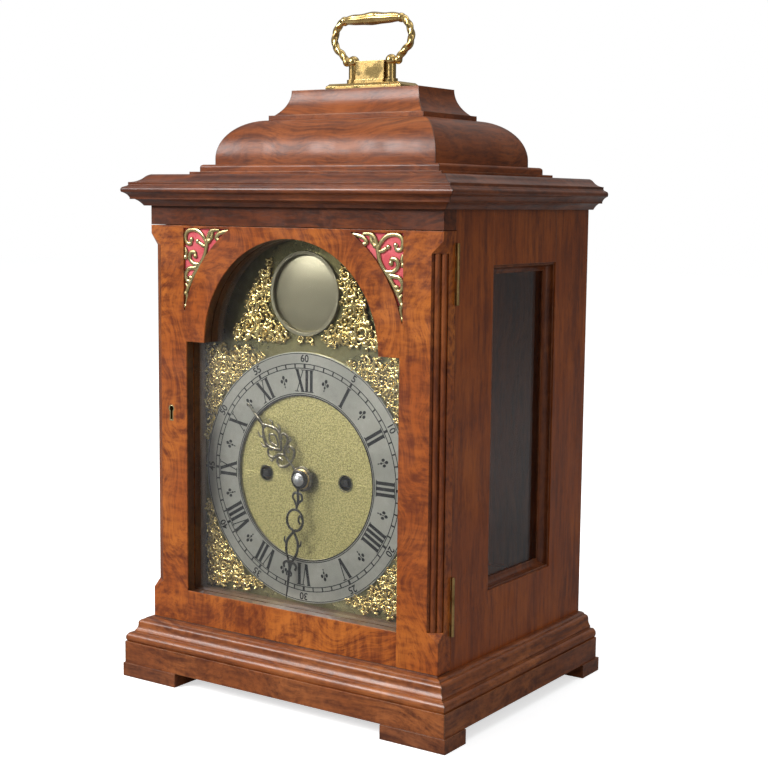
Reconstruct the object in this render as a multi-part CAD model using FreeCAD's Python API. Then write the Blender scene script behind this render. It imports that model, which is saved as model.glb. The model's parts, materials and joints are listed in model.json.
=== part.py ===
"""Bracket clock: bell-top mahogany case, arched brass dial, two-train spring movement and pendulum."""
import FreeCAD, Part
import math
import os

os.makedirs("parts", exist_ok=True)

V = FreeCAD.Vector
X_AXIS = V(1, 0, 0)
Y_AXIS = V(0, 1, 0)
Z_AXIS = V(0, 0, 1)
ORIGIN = V(0, 0, 0)
BIG = 600.0                       # longer than anything in the clock, for cutting tools

# ------------------------------------------------------------------ driving sizes (mm)
# The origin is on the table under the middle of the four feet: +X right, +Y back, +Z up.

# case
case_depth = 194.0                # front of the door to the back of the sides
side_thickness = 12.0
rail_depth = 14.3                 # front rails above and below the door
board_thickness = 12.0
foot_height = 9.6
foot_length = 49.0
foot_depth = 25.2
foot_proud = 1.0                  # feet beyond the plinth, front and sides
rear_foot_proud = 3.0
plinth_height = 15.6
plinth_projection = 15.0
plinth_wall = 24.0
base_moulding_height = 17.8
base_moulding_projection = 14.6
frieze_height = 12.8
cornice_height = 21.6
cornice_projection = 15.0
cornice_stock = 28.0              # how far the cornice wood runs in over the case

# front door
door_thickness = 14.6
door_gap = 0.4                    # above and below the door
door_back_gap = 0.3               # between the closed door and the case
sight_width = 176.8               # glazed opening
stile_width = 31.6                # the case is as wide as the opening and two stiles
bottom_rail = 22.9
arch_shoulder = 16.05             # the arch is this much narrower than the opening, each side
head_above_arch = 7.35
ring_to_sill = 1.7                # from the chapter ring down to the opening's bottom edge
ring_to_spring = 3.3              # from the chapter ring up to the springing line of the arch
arch_band = 20.0                  # wood between the arch and the frets
glass_thickness = 2.0
glass_lap = 3.6                   # how far the glass runs into its groove
groove_clearance = 0.2
glass_setback = 7.0               # front lip of the door in front of the glass

# canted and reeded door corners
cant_front = 8.5
cant_side = 6.2
cant_depth = 2.2
reed_radius = 2.2
reed_quirk = 1.6                  # sunk strip beside the first reed
cant_top_below_door = 13.8
cant_bottom_above_door = 26.4
cant_top_stop = 8.0
cant_bottom_stop = 5.4

# frets in the door's upper corners
fret_beyond_sight = 2.1           # outer edge of a fret beyond the opening's edge
fret_top_below_door = 1.8
fret_above_spring = 21.3
fret_pocket = 3.6
fret_thickness = 1.2
fret_setback = 0.4
fret_lip = 3.0                    # wood behind the edge of the silk
fret_rim = 1.5
fret_bar = 1.3
fret_rings = (                    # scrolls: in from the outer edge, down from the top, radius
    (7.4, 7.4, 6.8), (20.0, 7.0, 6.4), (31.6, 6.0, 5.4), (7.0, 20.4, 6.6), (18.6, 17.6, 5.4),
    (6.4, 32.6, 5.9), (15.4, 27.8, 4.6), (4.6, 43.6, 5.2), (11.4, 38.0, 3.8), (26.4, 15.6, 4.0))

# door hinges, lock and keyhole
hinge_length = 38.4
hinge_knuckle_radius = 1.2
hinge_pin_radius = 0.6
hinge_leaf = 1.0
hinge_leaf_width = 9.0
hinge_knuckles = 5
knuckle_gap = 0.05
hinge_axis_out = 1.3              # pin centre outside the case side
front_hinge_low = 41.4            # middle of the lower hinge above the door's bottom edge
front_hinge_high = 26.7           # middle of the upper hinge below the door's top edge
running_clearance = 0.05
key_from_lock_edge = 5.1
key_above_centre = 38.0
keyhole_radius = 1.8
keyhole_slot = 1.8
keyhole_length = 9.6
lining_wall = 0.8
lock_to_glass = 0.7
lock_height = 26.0
lock_depth = 12.0
lock_in_case = 8.0                # lock behind the back of the door
lock_room = 0.5                   # round the lock in the mask
bolt_height = 8.0
bolt_thickness = 3.6
bolt_shorter = 4.0                # the bolt is shorter than the lock
bolt_travel = 5.0
bolt_clearance = 0.5
bolt_from_back = 1.8              # bolt in from the back of the lock
mortise_room = 1.0                # mortise deeper than the bolt or the catch reaches

# side windows
window_front_stile = 60.8         # from the front of the door to the window
window_back_stile = 48.2
window_bottom_rail = 42.5         # from the base moulding to the window
window_top_rail = 22.9
window_moulding = 6.0
window_moulding_depth = 7.0
window_setback = 0.8              # moulding below the face of the side
pane_thickness = 2.0

# back door
back_door_thickness = 12.0
back_stile = 24.0
back_rail = 26.0
panel_thickness = 4.0
panel_lap = 3.6
back_gap = 0.4
back_hinge_low = 47.0
back_hinge_high = 46.6
back_hinge_length = 36.0
knob_radius = 5.0
knob_collar = 1.2
knob_grip = 2.4
knob_inset = 0.1                  # knob inside the line of the back feet
knob_stem_radius = 2.2
catch_length = 15.4
catch_width = 6.0
catch_thickness = 3.6
knob_above_base = 140.0
knob_from_edge = 10.0
catch_reach = 5.0                 # catch beyond the inner face of the side

# bell top
bell_side_setback = 15.9          # bell top in from the case at the sides
bell_front_setback = 21.9
bell_back_setback = 25.7
lower_fillet = 2.2
second_fillet = 5.0
second_fillet_inset = 5.2
second_fillet_round = 2.0
ovolo_inset = 12.8
ovolo_radius = 27.3
ovolo_foot = 4.1
cap_fillet = 3.3
cap_fillet_inset = 39.3
cavetto_inset = 42.4
cap_top_inset = 50.8
cavetto_radius = 22.0
cavetto_step = 0.4

# carrying handle
handle_plate_width = 63.0
handle_plate_depth = 24.0
handle_plate_thickness = 4.5
handle_plate_bevel = 2.0
saddle_width = 24.0
saddle_depth = 7.0
saddle_height = 15.6
saddle_foot = 2.8
post_x = 16.0
post_radius = 3.3
post_foot_radius = 4.6
post_foot_height = 3.0
post_head_radius = 4.2
pivot_above_cap = 19.9
pivot_pin_radius = 1.5
bail_half_width = 31.0
bail_rise = 33.8                  # pivot line to the top of the grip
bail_limb_radius = 2.4
bail_grip_radius = 4.4

# dial
dial_side_lap = 1.6               # dial beyond the sight opening
dial_bottom_lap = 2.3
dial_shoulder_lap = 2.0
dial_arch_lap = 1.6
dial_thickness = 2.4
mask_thickness = 6.1
ring_margin = 2.8                 # from the chapter ring to the opening's sides
ring_width = 29.7
ring_thickness = 1.6
boss_radius = 28.3
boss_to_arch = 8.15               # from the boss to the arch's crown
boss_thickness = 2.6
boss_rim = 2.2
boss_dome_sunk = 0.4              # top of the dome below its rim
spandrel_thickness = 1.8
spandrel_gap = 1.0
spandrel_rim = 1.3
spandrel_bar = 1.8
spandrel_tip = 34.0               # nearest a corner spandrel comes to the dial's centre lines
spandrel_rings = (                # scrolls: in from the side, in from the top or bottom, radius
    (7.0, 7.0, 6.6), (17.4, 5.4, 5.4), (5.4, 17.4, 5.4), (17.0, 16.6, 6.5), (27.4, 6.6, 5.2),
    (6.6, 27.4, 5.2), (36.0, 4.4, 4.4), (4.4, 36.0, 4.4), (26.4, 14.6, 3.6), (14.6, 26.4, 3.6))
arch_spandrel_margin = 8.35       # from the arch's edge to its spandrels
arch_spandrel_top = 15.85         # from the arch's crown down to their tops
arch_tip_x = 10.0
arch_foot = 3.0
arch_rings = (                    # scrolls: x, height above the springing, radius
    (37.0, 14.0, 8.6), (52.0, 11.0, 7.6), (63.0, 7.6, 4.6), (24.6, 6.6, 4.6), (14.6, 5.2, 3.2),
    (46.0, 26.0, 7.6), (56.0, 22.4, 5.6), (38.6, 39.6, 8.2), (49.0, 36.0, 5.0), (31.0, 51.6, 5.4))
winding_hole_radius = 5.1
winding_rim = 0.5
winding_rim_width = 0.9
centre_hole_radius = 4.4
dial_foot_radius = 2.2
dial_foot_in = 7.0                # dial feet in from the edges of the front plate
dial_foot_low = 20.0
dial_foot_high = 23.0

# hands
hour_past_ring = 10.1             # tip beyond the ring's inner edge
minute_short_of_ring = 1.2        # tip inside the ring's outer edge
hour_angle = 315.5                # degrees clockwise from XII at rest
minute_angle = 186.0
hour_hand_out = 3.9               # back of the hand in front of the dial
minute_hand_out = 6.4
hand_thickness = 0.9
hour_hub_radius = 6.0
minute_hub_radius = 4.6
stem_half = 1.0
hand_bar = 1.2                    # width of the scrolls' lines
curl_x = 4.2
curl_z = 15.6
curl_radius = 4.0
collet_radius = 3.2
collet_thickness = 1.1

# movement frame
plate_width = 116.0
plate_below_centre = 75.6
plate_above_centre = 81.4
plate_thickness = 3.0
dial_to_plate = 17.5              # from the dial's front to the front plate
plate_gap = 55.0
pillar_radius = 4.0
pillar_waist_radius = 2.8
pillar_in = 8.0                   # pillar centre in from the plate's top and bottom
seat_thickness = 10.0
bearer_height = 12.0
bearer_width = 12.0
seat_front_reach = 10.0           # seat board beyond the plates
seat_back_reach = 1.5

# trains: teeth, modules (mm of diameter a tooth) and levels
great_teeth = 90
centre_pinion_teeth = 10
great_module = 0.668
centre_teeth = 84
third_pinion_teeth = 7
centre_module = 0.55
third_teeth = 78
escape_pinion_teeth = 6
third_module = 0.54
escape_teeth = 30
escape_radius = 13.5
pin_pinion_teeth = 8
pin_teeth = 64
gather_pinion_teeth = 8
strike_module = 0.5
gather_teeth = 56
fly_pinion_teeth = 8
pin_wheel_direction = 95.0        # degrees up from +X, seen from the front
gather_direction = 60.0
fly_direction = 100.0
cannon_teeth = 12
minute_wheel_teeth = 36
cannon_module = 0.7
minute_pinion_teeth = 10
hour_teeth = 40
wheel_thickness = 1.8
addendum = 0.72                   # tooth sizes as shares of the module and of the pitch
dedendum = 1.10
root_share = 0.27
pitch_share = 0.17
tip_share = 0.06
rim_share = 0.13
hub_share = 0.17
spoke_half = 1.0
pinion_overhang = 1.2             # pinion beyond each face of the wheel it drives with
arbor_radius = 1.4
pivot_radius = 0.5
pivot_shoulder = 0.3
pin_circle_radius = 13.4
barrel_radius = 26.0
barrel_length = 24.2
barrel_rim = 3.0
barrel_arbor_radius = 3.0
winding_square = 4.6
winding_out = 1.1                 # squares in front of the dial
ratchet_radius = 9.0
ratchet_teeth = 18
ratchet_gap = 0.5
going_great_level = 32.0          # levels are measured back from the front plate's front
strike_great_level = 6.0
centre_wheel_level = 40.0
third_wheel_level = 46.0
escape_wheel_level = 28.0
pin_wheel_level = 38.0
gather_wheel_level = 42.4

# motion work
cannon_out = 2.6                  # in front of the front plate
hour_wheel_out = 8.6
motion_thickness = 1.4
centre_front_radius = 2.2
hour_pipe_wall = 0.9
stud_radius = 1.2

# escapement and pendulum
pallet_above_escape = 19.0
pallet_gap = 1.0
pallet_span = 45.0                # degrees from the centre line to each pallet
pallet_thickness = 2.4
pendulum_behind = 9.0             # behind the back plate
crutch_behind = 2.4
crutch_length = 34.0
crutch_width = 3.2
crutch_thickness = 1.4
crutch_pin_radius = 0.8
pendulum_rod_radius = 1.6
suspension_length = 11.0
suspension_half = 1.5
suspension_thickness = 0.4
chop_half = 2.6
chop_wall = 0.4
chop_height = 6.0
rod_below_bob = 8.0
block_wall = 1.85
block_half = 4.0
crutch_pin_in = 2.0              # pin above the end of the crutch
crutch_pin_play = 0.35
bob_radius = 22.0
bob_thickness = 11.0
bob_above_base = 31.0
rating_nut_radius = 3.6
rating_nut_height = 3.0
cock_half_width = 14.0
cock_bar = 3.0
cock_height = 9.0

# bell, hammer and fly
gong_radius = 29.0
gong_height = 25.0
gong_wall = 1.6
gong_lip_share = 0.985
gong_skirt_share = 0.28
gong_above_plates = 17.0
gong_level = 30.0
gong_post_radius = 2.0
stand_x = 26.0
stand_half = 4.0
stand_thickness = 2.6
stand_foot_below = 35.0           # below the top of the plates
hammer_from_edge = 4.0            # hammer arbor in from the plates' edge
hammer_below = 31.0
hammer_gap = 1.2
hammer_head_radius = 4.4
hammer_head_length = 9.0
hammer_arm = 1.3
fly_radius = 12.0
fly_thickness = 0.8
fly_level = 10.0
fly_length = 24.0

# ------------------------------------------------------------------ places worked out from the sizes
sight_half = sight_width / 2
half_width = sight_half + stile_width
case_width = 2 * half_width
ring_outer = sight_half - ring_margin
ring_inner = ring_outer - ring_width
arch_radius = sight_half - arch_shoulder
case_front = -(case_depth + plinth_projection + foot_proud + rear_foot_proud) / 2 + plinth_projection + foot_proud
case_back = case_front + case_depth
plinth_top = foot_height + plinth_height
body_bottom = plinth_top + base_moulding_height
door_bottom = body_bottom + door_gap
sight_bottom = door_bottom + bottom_rail
dial_centre_z = sight_bottom + ring_to_sill + ring_outer
spring_z = dial_centre_z + ring_outer + ring_to_spring
door_top = spring_z + arch_radius + head_above_arch
door_height = door_top - door_bottom
frieze_bottom = door_top + door_gap
body_top = frieze_bottom + frieze_height
cornice_top = body_top + cornice_height
door_back = case_front + door_thickness
side_front = door_back + door_back_gap
inside_half = half_width - side_thickness
glass_front = case_front + glass_setback
glass_back = glass_front + glass_thickness
fret_outer_x = sight_half + fret_beyond_sight
fret_bottom_z = spring_z + fret_above_spring
front_hinge_zs = (door_bottom + front_hinge_low, door_top - front_hinge_high)
back_hinge_zs = (body_bottom + back_hinge_low, frieze_bottom - back_hinge_high)
lock_width = stile_width - side_thickness - door_back_gap - glass_lap - lock_to_glass
bolt_length = lock_width - bolt_shorter
key_x = inside_half - door_back_gap - key_from_lock_edge
key_z = dial_centre_z + key_above_centre
knob_z = body_bottom + knob_above_base
window_front_y = case_front + window_front_stile
window_back_y = case_back - window_back_stile
window_bottom_z = body_bottom + window_bottom_rail
window_top_z = frieze_bottom - window_top_rail

# dial and movement
dial_front_y = side_front + mask_thickness
dial_back_y = dial_front_y + dial_thickness
dial_width = sight_width + 2 * dial_side_lap
boss_z = spring_z + arch_radius - boss_to_arch - boss_radius
hour_length = ring_inner + hour_past_ring
minute_length = ring_outer - minute_short_of_ring
hour_hand_y = dial_front_y - hour_hand_out
minute_hand_y = dial_front_y - minute_hand_out
winding_front_y = dial_front_y - winding_out
winding_x = great_module * (great_teeth + centre_pinion_teeth) / 2
front_plate_y = dial_front_y + dial_to_plate
back_plate_y = front_plate_y + plate_thickness + plate_gap
back_plate_rear = back_plate_y + plate_thickness
plate_bottom_z = dial_centre_z - plate_below_centre
plate_top_z = dial_centre_z + plate_above_centre
dial_foot_x = plate_width / 2 - dial_foot_in
dial_foot_zs = (plate_bottom_z + dial_foot_low, plate_top_z - dial_foot_high)
pillar_x = plate_width / 2 - pillar_in
seat_front_y = front_plate_y - seat_front_reach
seat_back_y = back_plate_rear + seat_back_reach
going_great_y = front_plate_y + going_great_level
strike_great_y = front_plate_y + strike_great_level
centre_wheel_y = front_plate_y + centre_wheel_level
third_wheel_y = front_plate_y + third_wheel_level
escape_wheel_y = front_plate_y + escape_wheel_level
pin_wheel_y = front_plate_y + pin_wheel_level
gather_wheel_y = front_plate_y + gather_wheel_level
cannon_y = front_plate_y - cannon_out
minute_wheel_y = cannon_y
hour_wheel_y = front_plate_y - hour_wheel_out
pendulum_y = back_plate_rear + pendulum_behind
crutch_y = back_plate_rear + crutch_behind
bob_centre_z = body_bottom + bob_above_base
gong_mouth_z = plate_top_z + gong_above_plates
gong_y = front_plate_y + gong_level
stand_foot_z = plate_top_z - stand_foot_below
hammer_x = hammer_from_edge - plate_width / 2
hammer_z = plate_top_z - hammer_below
fly_y0 = front_plate_y + fly_level
fly_y1 = fly_y0 + fly_length

# bell top
bell_width = case_width - 2 * bell_side_setback
bell_depth = case_depth - bell_front_setback - bell_back_setback
bell_centre_y = case_front + bell_front_setback + bell_depth / 2
cap_base = cornice_top + lower_fillet + second_fillet + ovolo_foot + ovolo_radius
cap_top = cap_base + cap_fillet + cavetto_step + math.sqrt(cavetto_radius ** 2 - (cavetto_radius - cap_top_inset + cavetto_inset) ** 2)
pivot_z = cap_top + pivot_above_cap


# ------------------------------------------------------------------ drawing helpers
def box(x0, x1, y0, y1, z0, z1):
    """A block between two corners."""
    return Part.makeBox(x1 - x0, y1 - y0, z1 - z0, V(x0, y0, z0))


def rod(start, direction, radius, length):
    """A round bar from a point along a direction."""
    return Part.makeCylinder(radius, length, start, direction)


def rod_y(x, z, y0, y1, radius):
    """A round bar along Y."""
    return rod(V(x, y0, z), Y_AXIS, radius, y1 - y0)


def polygon(points):
    """A closed wire through points."""
    return Part.makePolygon(list(points) + [points[0]])


def plate_xz(points, y0, y1):
    """An upright plate: an outline of (x, z) points from y0 to y1."""
    wire = polygon([V(x, y0, z) for x, z in points])
    return Part.Face(wire).extrude(V(0, y1 - y0, 0))


def path_wire(steps, place):
    """A closed wire from steps: a point is a straight run, a (middle, end) pair is an arc through both."""
    start = place(*steps[0])
    here = start
    edges = []
    for step in steps[1:]:
        if isinstance(step[0], tuple):
            middle, end = place(*step[0]), place(*step[1])
            edges.append(Part.Arc(here, middle, end).toShape())
            here = end
        else:
            end = place(*step)
            edges.append(Part.LineSegment(here, end).toShape())
            here = end
    if here.distanceToPoint(start) > 1e-6:
        edges.append(Part.LineSegment(here, start).toShape())
    return Part.Wire(edges)


def mirror_x(shape):
    """The same piece on the other side of the clock."""
    return shape.mirror(ORIGIN, X_AXIS)


def both_sides(shape):
    """A right-hand piece and its left-hand twin."""
    return [shape, mirror_x(shape)]


def fuse(shapes):
    """One solid from several that meet."""
    result = shapes[0].multiFuse(list(shapes[1:])) if len(shapes) > 1 else shapes[0]
    return result.removeSplitter()


def turn_about_y(shape, x, z, degrees):
    """Turns a piece clockwise, as seen from the front, about an axis along Y."""
    turned = shape.copy()
    turned.rotate(V(x, 0, z), Y_AXIS, degrees)
    return turned


def export(name, *pieces):
    """Writes one node: a solid, or a group of separate solids."""
    solids = []
    for piece in pieces:
        for shape in (piece if isinstance(piece, (list, tuple)) else [piece]):
            solids.extend(shape.Solids)
    assert solids and all(s.isValid() for s in solids), name
    shape = solids[0] if len(solids) == 1 else Part.makeCompound(solids)
    shape.exportStep("parts/%s.step" % name)
    print(name, len(solids), "solids", round(sum(s.Volume for s in solids)), "mm3")


# ------------------------------------------------------------------ mouldings
def scaled(members, out, base, up):
    """A profile from its members, each a share of how far out and how high the moulding goes."""
    def place(point):
        return point[0] * out, base + point[1] * up
    return [tuple(map(place, m)) if isinstance(m[0], tuple) else place(m) for m in members]


def moulding_runs(profile, width, front, back, depth, stock):
    """Front and side runs of a moulding, mitred at the front corners and cut square at the back."""
    half = width / 2
    reach = stock + 1.0
    low = min(p[1] for p in profile if not isinstance(p[0], tuple)) - 1.0
    high = max(p[1] for p in profile if not isinstance(p[0], tuple)) + 1.0
    front_face = Part.Face(path_wire(profile, lambda d, z: V(-half - depth, front - d, z)))
    front_bar = front_face.extrude(V(width + 2 * depth, 0, 0))
    side_face = Part.Face(path_wire(profile, lambda d, z: V(half + d, front - depth, z)))
    side_bar = side_face.extrude(V(0, back - front + depth, 0))
    front_plan = polygon([V(-half - depth, front - depth, low), V(half + depth, front - depth, low),
                          V(half - reach, front + reach, low), V(-half + reach, front + reach, low)])
    side_plan = polygon([V(half + depth, front - depth, low), V(half + depth, back, low),
                         V(half - reach, back, low), V(half - reach, front + reach, low)])
    lift = V(0, 0, high - low)
    front_run = front_bar.common(Part.Face(front_plan).extrude(lift))
    side_run = side_bar.common(Part.Face(side_plan).extrude(lift))
    return [front_run] + both_sides(side_run)


def hipped_block(half_profile, width, depth, centre_y):
    """A block whose four sides carry one profile; its points are (inset, z) up one side."""
    top_inset, top_z = half_profile[-1] if not isinstance(half_profile[-1][0], tuple) else half_profile[-1][1]
    bottom_inset, bottom_z = half_profile[0]
    half_x, half_y = width / 2, depth / 2

    def closed(half):
        return half_profile + [(half, top_z), (half, bottom_z)]

    right = Part.Face(path_wire(closed(half_x), lambda i, z: V(half_x - i, centre_y - depth, z)))
    across = right.extrude(V(0, 2 * depth, 0))
    across = fuse([across, mirror_x(across)])
    front = Part.Face(path_wire(closed(half_y), lambda i, z: V(-width, centre_y - half_y + i, z)))
    along = front.extrude(V(2 * width, 0, 0))
    along = fuse([along, along.mirror(V(0, centre_y, 0), Y_AXIS)])
    return across.common(along)


# ------------------------------------------------------------------ case
def feet():
    """Four block feet under the corners of the plinth."""
    x1 = half_width + plinth_projection + foot_proud
    front = case_front - plinth_projection - foot_proud
    back = case_back + rear_foot_proud
    near = box(x1 - foot_length, x1, front, front + foot_depth, 0, foot_height)
    far = box(x1 - foot_length, x1, back - foot_depth, back, 0, foot_height)
    return both_sides(near) + both_sides(far)


def plinth():
    """The plain band on the feet: a front and two sides, mitred, and a back piece between them."""
    profile = [(plinth_projection, foot_height), (plinth_projection, plinth_top),
               (plinth_projection - plinth_wall, plinth_top), (plinth_projection - plinth_wall, foot_height)]
    runs = moulding_runs(profile, case_width, case_front, case_back, plinth_projection, plinth_wall)
    inner = half_width + plinth_projection - plinth_wall
    back = box(-inner, inner, case_back - plinth_wall, case_back, foot_height, plinth_top)
    return runs + [back]


def base_moulding():
    """Torus, fillet, cove and a small ovolo round the foot of the case."""
    members = [(0, 0), (0.932, 0), ((1, 0.18), (0.849, 0.36)), (0.685, 0.36), (0.685, 0.438),
               ((0.589, 0.573), (0.568, 0.742)), ((0.507, 0.843), (0.336, 0.888)), (0.336, 0.916),
               ((0.205, 0.972), (0, 1))]
    profile = scaled(members, base_moulding_projection, plinth_top, base_moulding_height)
    return moulding_runs(profile, case_width, case_front, case_back, plinth_projection, 0.0)


def base_board():
    """Floor of the case, on the plinth between the sides."""
    return box(-inside_half, inside_half, case_front + rail_depth, case_back - board_thickness,
               plinth_top, plinth_top + board_thickness)


def case_rails():
    """Sill and frieze rails at the front and the back."""
    front_sill = box(-half_width, half_width, case_front, case_front + rail_depth, plinth_top, body_bottom)
    frieze = box(-half_width, half_width, case_front, case_front + rail_depth, frieze_bottom, body_top)
    back_y = case_back - back_door_thickness
    back_sill = box(-inside_half, inside_half, back_y, case_back, plinth_top, body_bottom)
    back_rail_top = box(-inside_half, inside_half, back_y, case_back, frieze_bottom, body_top)
    return [front_sill, frieze, back_sill, back_rail_top]


def side_members():
    """One side before its fittings are let in: front stile, back stile, bottom rail, top rail."""
    x0, x1 = inside_half, half_width
    front_edge = case_front + rail_depth
    front_stile = box(x0, x1, front_edge, window_front_y, plinth_top, body_top)
    clearance = box(x0 - 1, x1 + 1, front_edge - 1, side_front, body_bottom, frieze_bottom)
    back_stile_piece = box(x0, x1, window_back_y, case_back, plinth_top, body_top)
    bottom = box(x0, x1, window_front_y, window_back_y, plinth_top, window_bottom_z)
    top = box(x0, x1, window_front_y, window_back_y, window_top_z, body_top)
    return front_stile.cut(clearance), back_stile_piece, bottom, top


def right_side():
    """Right side, with pockets for the leaves of both pairs of hinges."""
    front_stile, back_stile_piece, bottom, top = side_members()
    for z in front_hinge_zs:
        front_stile = front_stile.cut(case_leaf(z))
    for z in back_hinge_zs:
        back_stile_piece = back_stile_piece.cut(back_case_leaf(z))
    return [front_stile, back_stile_piece, bottom, top]


def round_gap(piece, gap):
    """What is left of a piece round a gap: below it, above it, before it, behind it, and past its end."""
    b = gap.BoundBox
    level = piece.common(box(-BIG, BIG, -BIG, BIG, b.ZMin, b.ZMax))
    beside = level.common(box(-BIG, BIG, b.YMin, b.YMax, -BIG, BIG))
    pieces = [piece.common(box(-BIG, BIG, -BIG, BIG, -BIG, b.ZMin)), piece.common(box(-BIG, BIG, -BIG, BIG, b.ZMax, BIG)),
              level.common(box(-BIG, BIG, -BIG, b.YMin, -BIG, BIG)), level.common(box(-BIG, BIG, b.YMax, BIG, -BIG, BIG)),
              beside.common(box(b.XMax, BIG, -BIG, BIG, -BIG, BIG))]
    return [p for p in pieces if p.Volume > 0.01]


def left_side():
    """Left side: the lining of its front stile is in lengths round the lock bolt's mortise; a slot takes the catch."""
    front_stile, back_stile_piece, bottom, top = side_members()
    x0 = inside_half
    c = bolt_clearance
    y0, y1 = bolt_span()
    end = x0 + bolt_travel + mortise_room
    mortise = box(x0 - 1, end, y0 - c, y1 + c, key_z - bolt_height / 2 - c, key_z + bolt_height / 2 + c)
    outer = front_stile.common(box(end, BIG, -BIG, BIG, -BIG, BIG))
    lining = round_gap(front_stile.common(box(-BIG, end, -BIG, BIG, -BIG, BIG)), mortise)
    y0, y1 = catch_span()
    slot = box(x0 - 1, x0 + catch_reach + mortise_room, y0 - c, y1 + c, knob_z - catch_length, knob_z + catch_length)
    members = [outer, back_stile_piece.cut(slot), bottom, top] + lining
    return [mirror_x(m) for m in members]


def window_mouldings():
    """Mitred ovolo mouldings inside both window openings, against the glass."""
    x1 = half_width - window_setback
    x0 = x1 - window_moulding_depth
    ys = (window_front_y, window_back_y)
    zs = (window_bottom_z, window_top_z)
    m = window_moulding
    bead = [(0, x0), (m, x0), (m, x0 + 1.2), ((m * 0.42, x0 + 2.6), (1.6, x1 - 1.0)), (1.6, x1), (0, x1)]
    runs = []
    for at_top in (False, True):
        z_edge, way = (zs[1], -1) if at_top else (zs[0], 1)
        face = Part.Face(path_wire(bead, lambda d, x: V(x, ys[0], z_edge + way * d)))
        bar = face.extrude(V(0, ys[1] - ys[0], 0))
        plan = polygon([V(x0 - 1, ys[0], z_edge), V(x0 - 1, ys[1], z_edge),
                        V(x0 - 1, ys[1] - m - 1, z_edge + way * (m + 1)),
                        V(x0 - 1, ys[0] + m + 1, z_edge + way * (m + 1))])
        runs.append(bar.common(Part.Face(plan).extrude(V(window_moulding_depth + 2, 0, 0))))
    for at_back in (False, True):
        y_edge, way = (ys[1], -1) if at_back else (ys[0], 1)
        face = Part.Face(path_wire(bead, lambda d, x: V(x, y_edge + way * d, zs[0])))
        bar = face.extrude(V(0, 0, zs[1] - zs[0]))
        plan = polygon([V(x0 - 1, y_edge, zs[0]), V(x0 - 1, y_edge, zs[1]),
                        V(x0 - 1, y_edge + way * (m + 1), zs[1] - m - 1),
                        V(x0 - 1, y_edge + way * (m + 1), zs[0] + m + 1)])
        runs.append(bar.common(Part.Face(plan).extrude(V(window_moulding_depth + 2, 0, 0))))
    return runs + [mirror_x(r) for r in runs]


def side_glasses():
    """Panes behind the window mouldings."""
    x1 = half_width - window_setback - window_moulding_depth
    pane = box(x1 - pane_thickness, x1, window_front_y, window_back_y, window_bottom_z, window_top_z)
    return both_sides(pane)


def top_board():
    """Board inside the cornice that closes the case and carries the bell top."""
    inner = half_width - cornice_stock
    return box(-inner, inner, case_front + cornice_stock, case_back, body_top, cornice_top)


def cornice():
    """Cove, fillet, cavetto, nosing, fillet and a small upper ogee round three sides."""
    members = [(0.24, 0), ((0.367, 0.116), (0.533, 0.204)), (0.7, 0.204), (0.7, 0.25),
               ((0.813, 0.366), (0.967, 0.426)), ((1, 0.505), (0.947, 0.583)), (0.787, 0.63),
               (0.747, 0.657), (0.747, 0.745), ((0.453, 0.787), (0.24, 0.889)),
               ((0.133, 0.958), (0, 1))]
    profile = scaled(members, cornice_projection, body_top, cornice_height)
    profile = [(-cornice_stock, body_top)] + profile + [(-cornice_stock, cornice_top)]
    return moulding_runs(profile, case_width, case_front, case_back, cornice_projection + 1.0, cornice_stock)


def bell_fillets():
    """Two flat steps under the bell."""
    z = cornice_top
    z1 = z + lower_fillet
    z2 = z1 + second_fillet
    r = second_fillet_round
    i = second_fillet_inset
    bend = r * (1 - math.sqrt(0.5))
    profile = [(0, z), (0, z1), (i, z1), (i, z2 - r), ((i + bend, z2 - bend), (i + r, z2))]
    return hipped_block(profile, bell_width, bell_depth, bell_centre_y)


def bell_ovolo():
    """The swelling part of the bell top."""
    z = cornice_top + lower_fillet + second_fillet
    i = ovolo_inset
    r = ovolo_radius
    bend = r * (1 - math.sqrt(0.5))
    profile = [(i, z), (i, z + ovolo_foot), ((i + bend, z + ovolo_foot + r - bend), (i + r, z + ovolo_foot + r))]
    return hipped_block(profile, bell_width, bell_depth, bell_centre_y)


def bell_cap():
    """Fillet and cavetto that finish the bell top."""
    z = cap_base
    foot = z + cap_fillet + cavetto_step
    centre_inset = cap_top_inset - cavetto_radius
    start_angle = math.acos((cavetto_inset - centre_inset) / cavetto_radius)
    middle = (centre_inset + cavetto_radius * math.cos(start_angle / 2),
              cap_top - cavetto_radius * math.sin(start_angle / 2))
    profile = [(cap_fillet_inset, z), (cap_fillet_inset, z + cap_fillet), (cavetto_inset, z + cap_fillet),
               (cavetto_inset, foot), (middle, (cap_top_inset, cap_top))]
    return hipped_block(profile, bell_width, bell_depth, bell_centre_y)


# ------------------------------------------------------------------ carrying handle
def handle_mount():
    """Bevelled plate, saddle between two turned posts with pivot eyes."""
    z0 = cap_top
    z1 = z0 + handle_plate_thickness
    y = bell_centre_y
    w, d = handle_plate_width / 2, handle_plate_depth / 2
    plate = box(-w, w, y - d, y + d, z0, z1)
    rim = [e for e in plate.Edges if e.BoundBox.ZMin > z1 - 0.01]
    plate = plate.makeChamfer(handle_plate_bevel, rim)
    foot = box(-saddle_width / 2, saddle_width / 2, y - saddle_depth / 2 - 1.4, y + saddle_depth / 2 + 1.4,
               z1, z1 + saddle_foot)
    saddle = box(-saddle_width / 2, saddle_width / 2, y - saddle_depth / 2, y + saddle_depth / 2,
                 z1 + saddle_foot, z1 + saddle_height)
    posts = [turned_post(z1), mirror_x(turned_post(z1))]
    hole = rod(V(-BIG / 2, y, pivot_z), X_AXIS, pivot_pin_radius + running_clearance, BIG)
    return fuse([plate, foot, saddle] + posts).cut(hole.cut(box(-saddle_width / 2, saddle_width / 2, -BIG, BIG, -BIG, BIG)))


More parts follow.
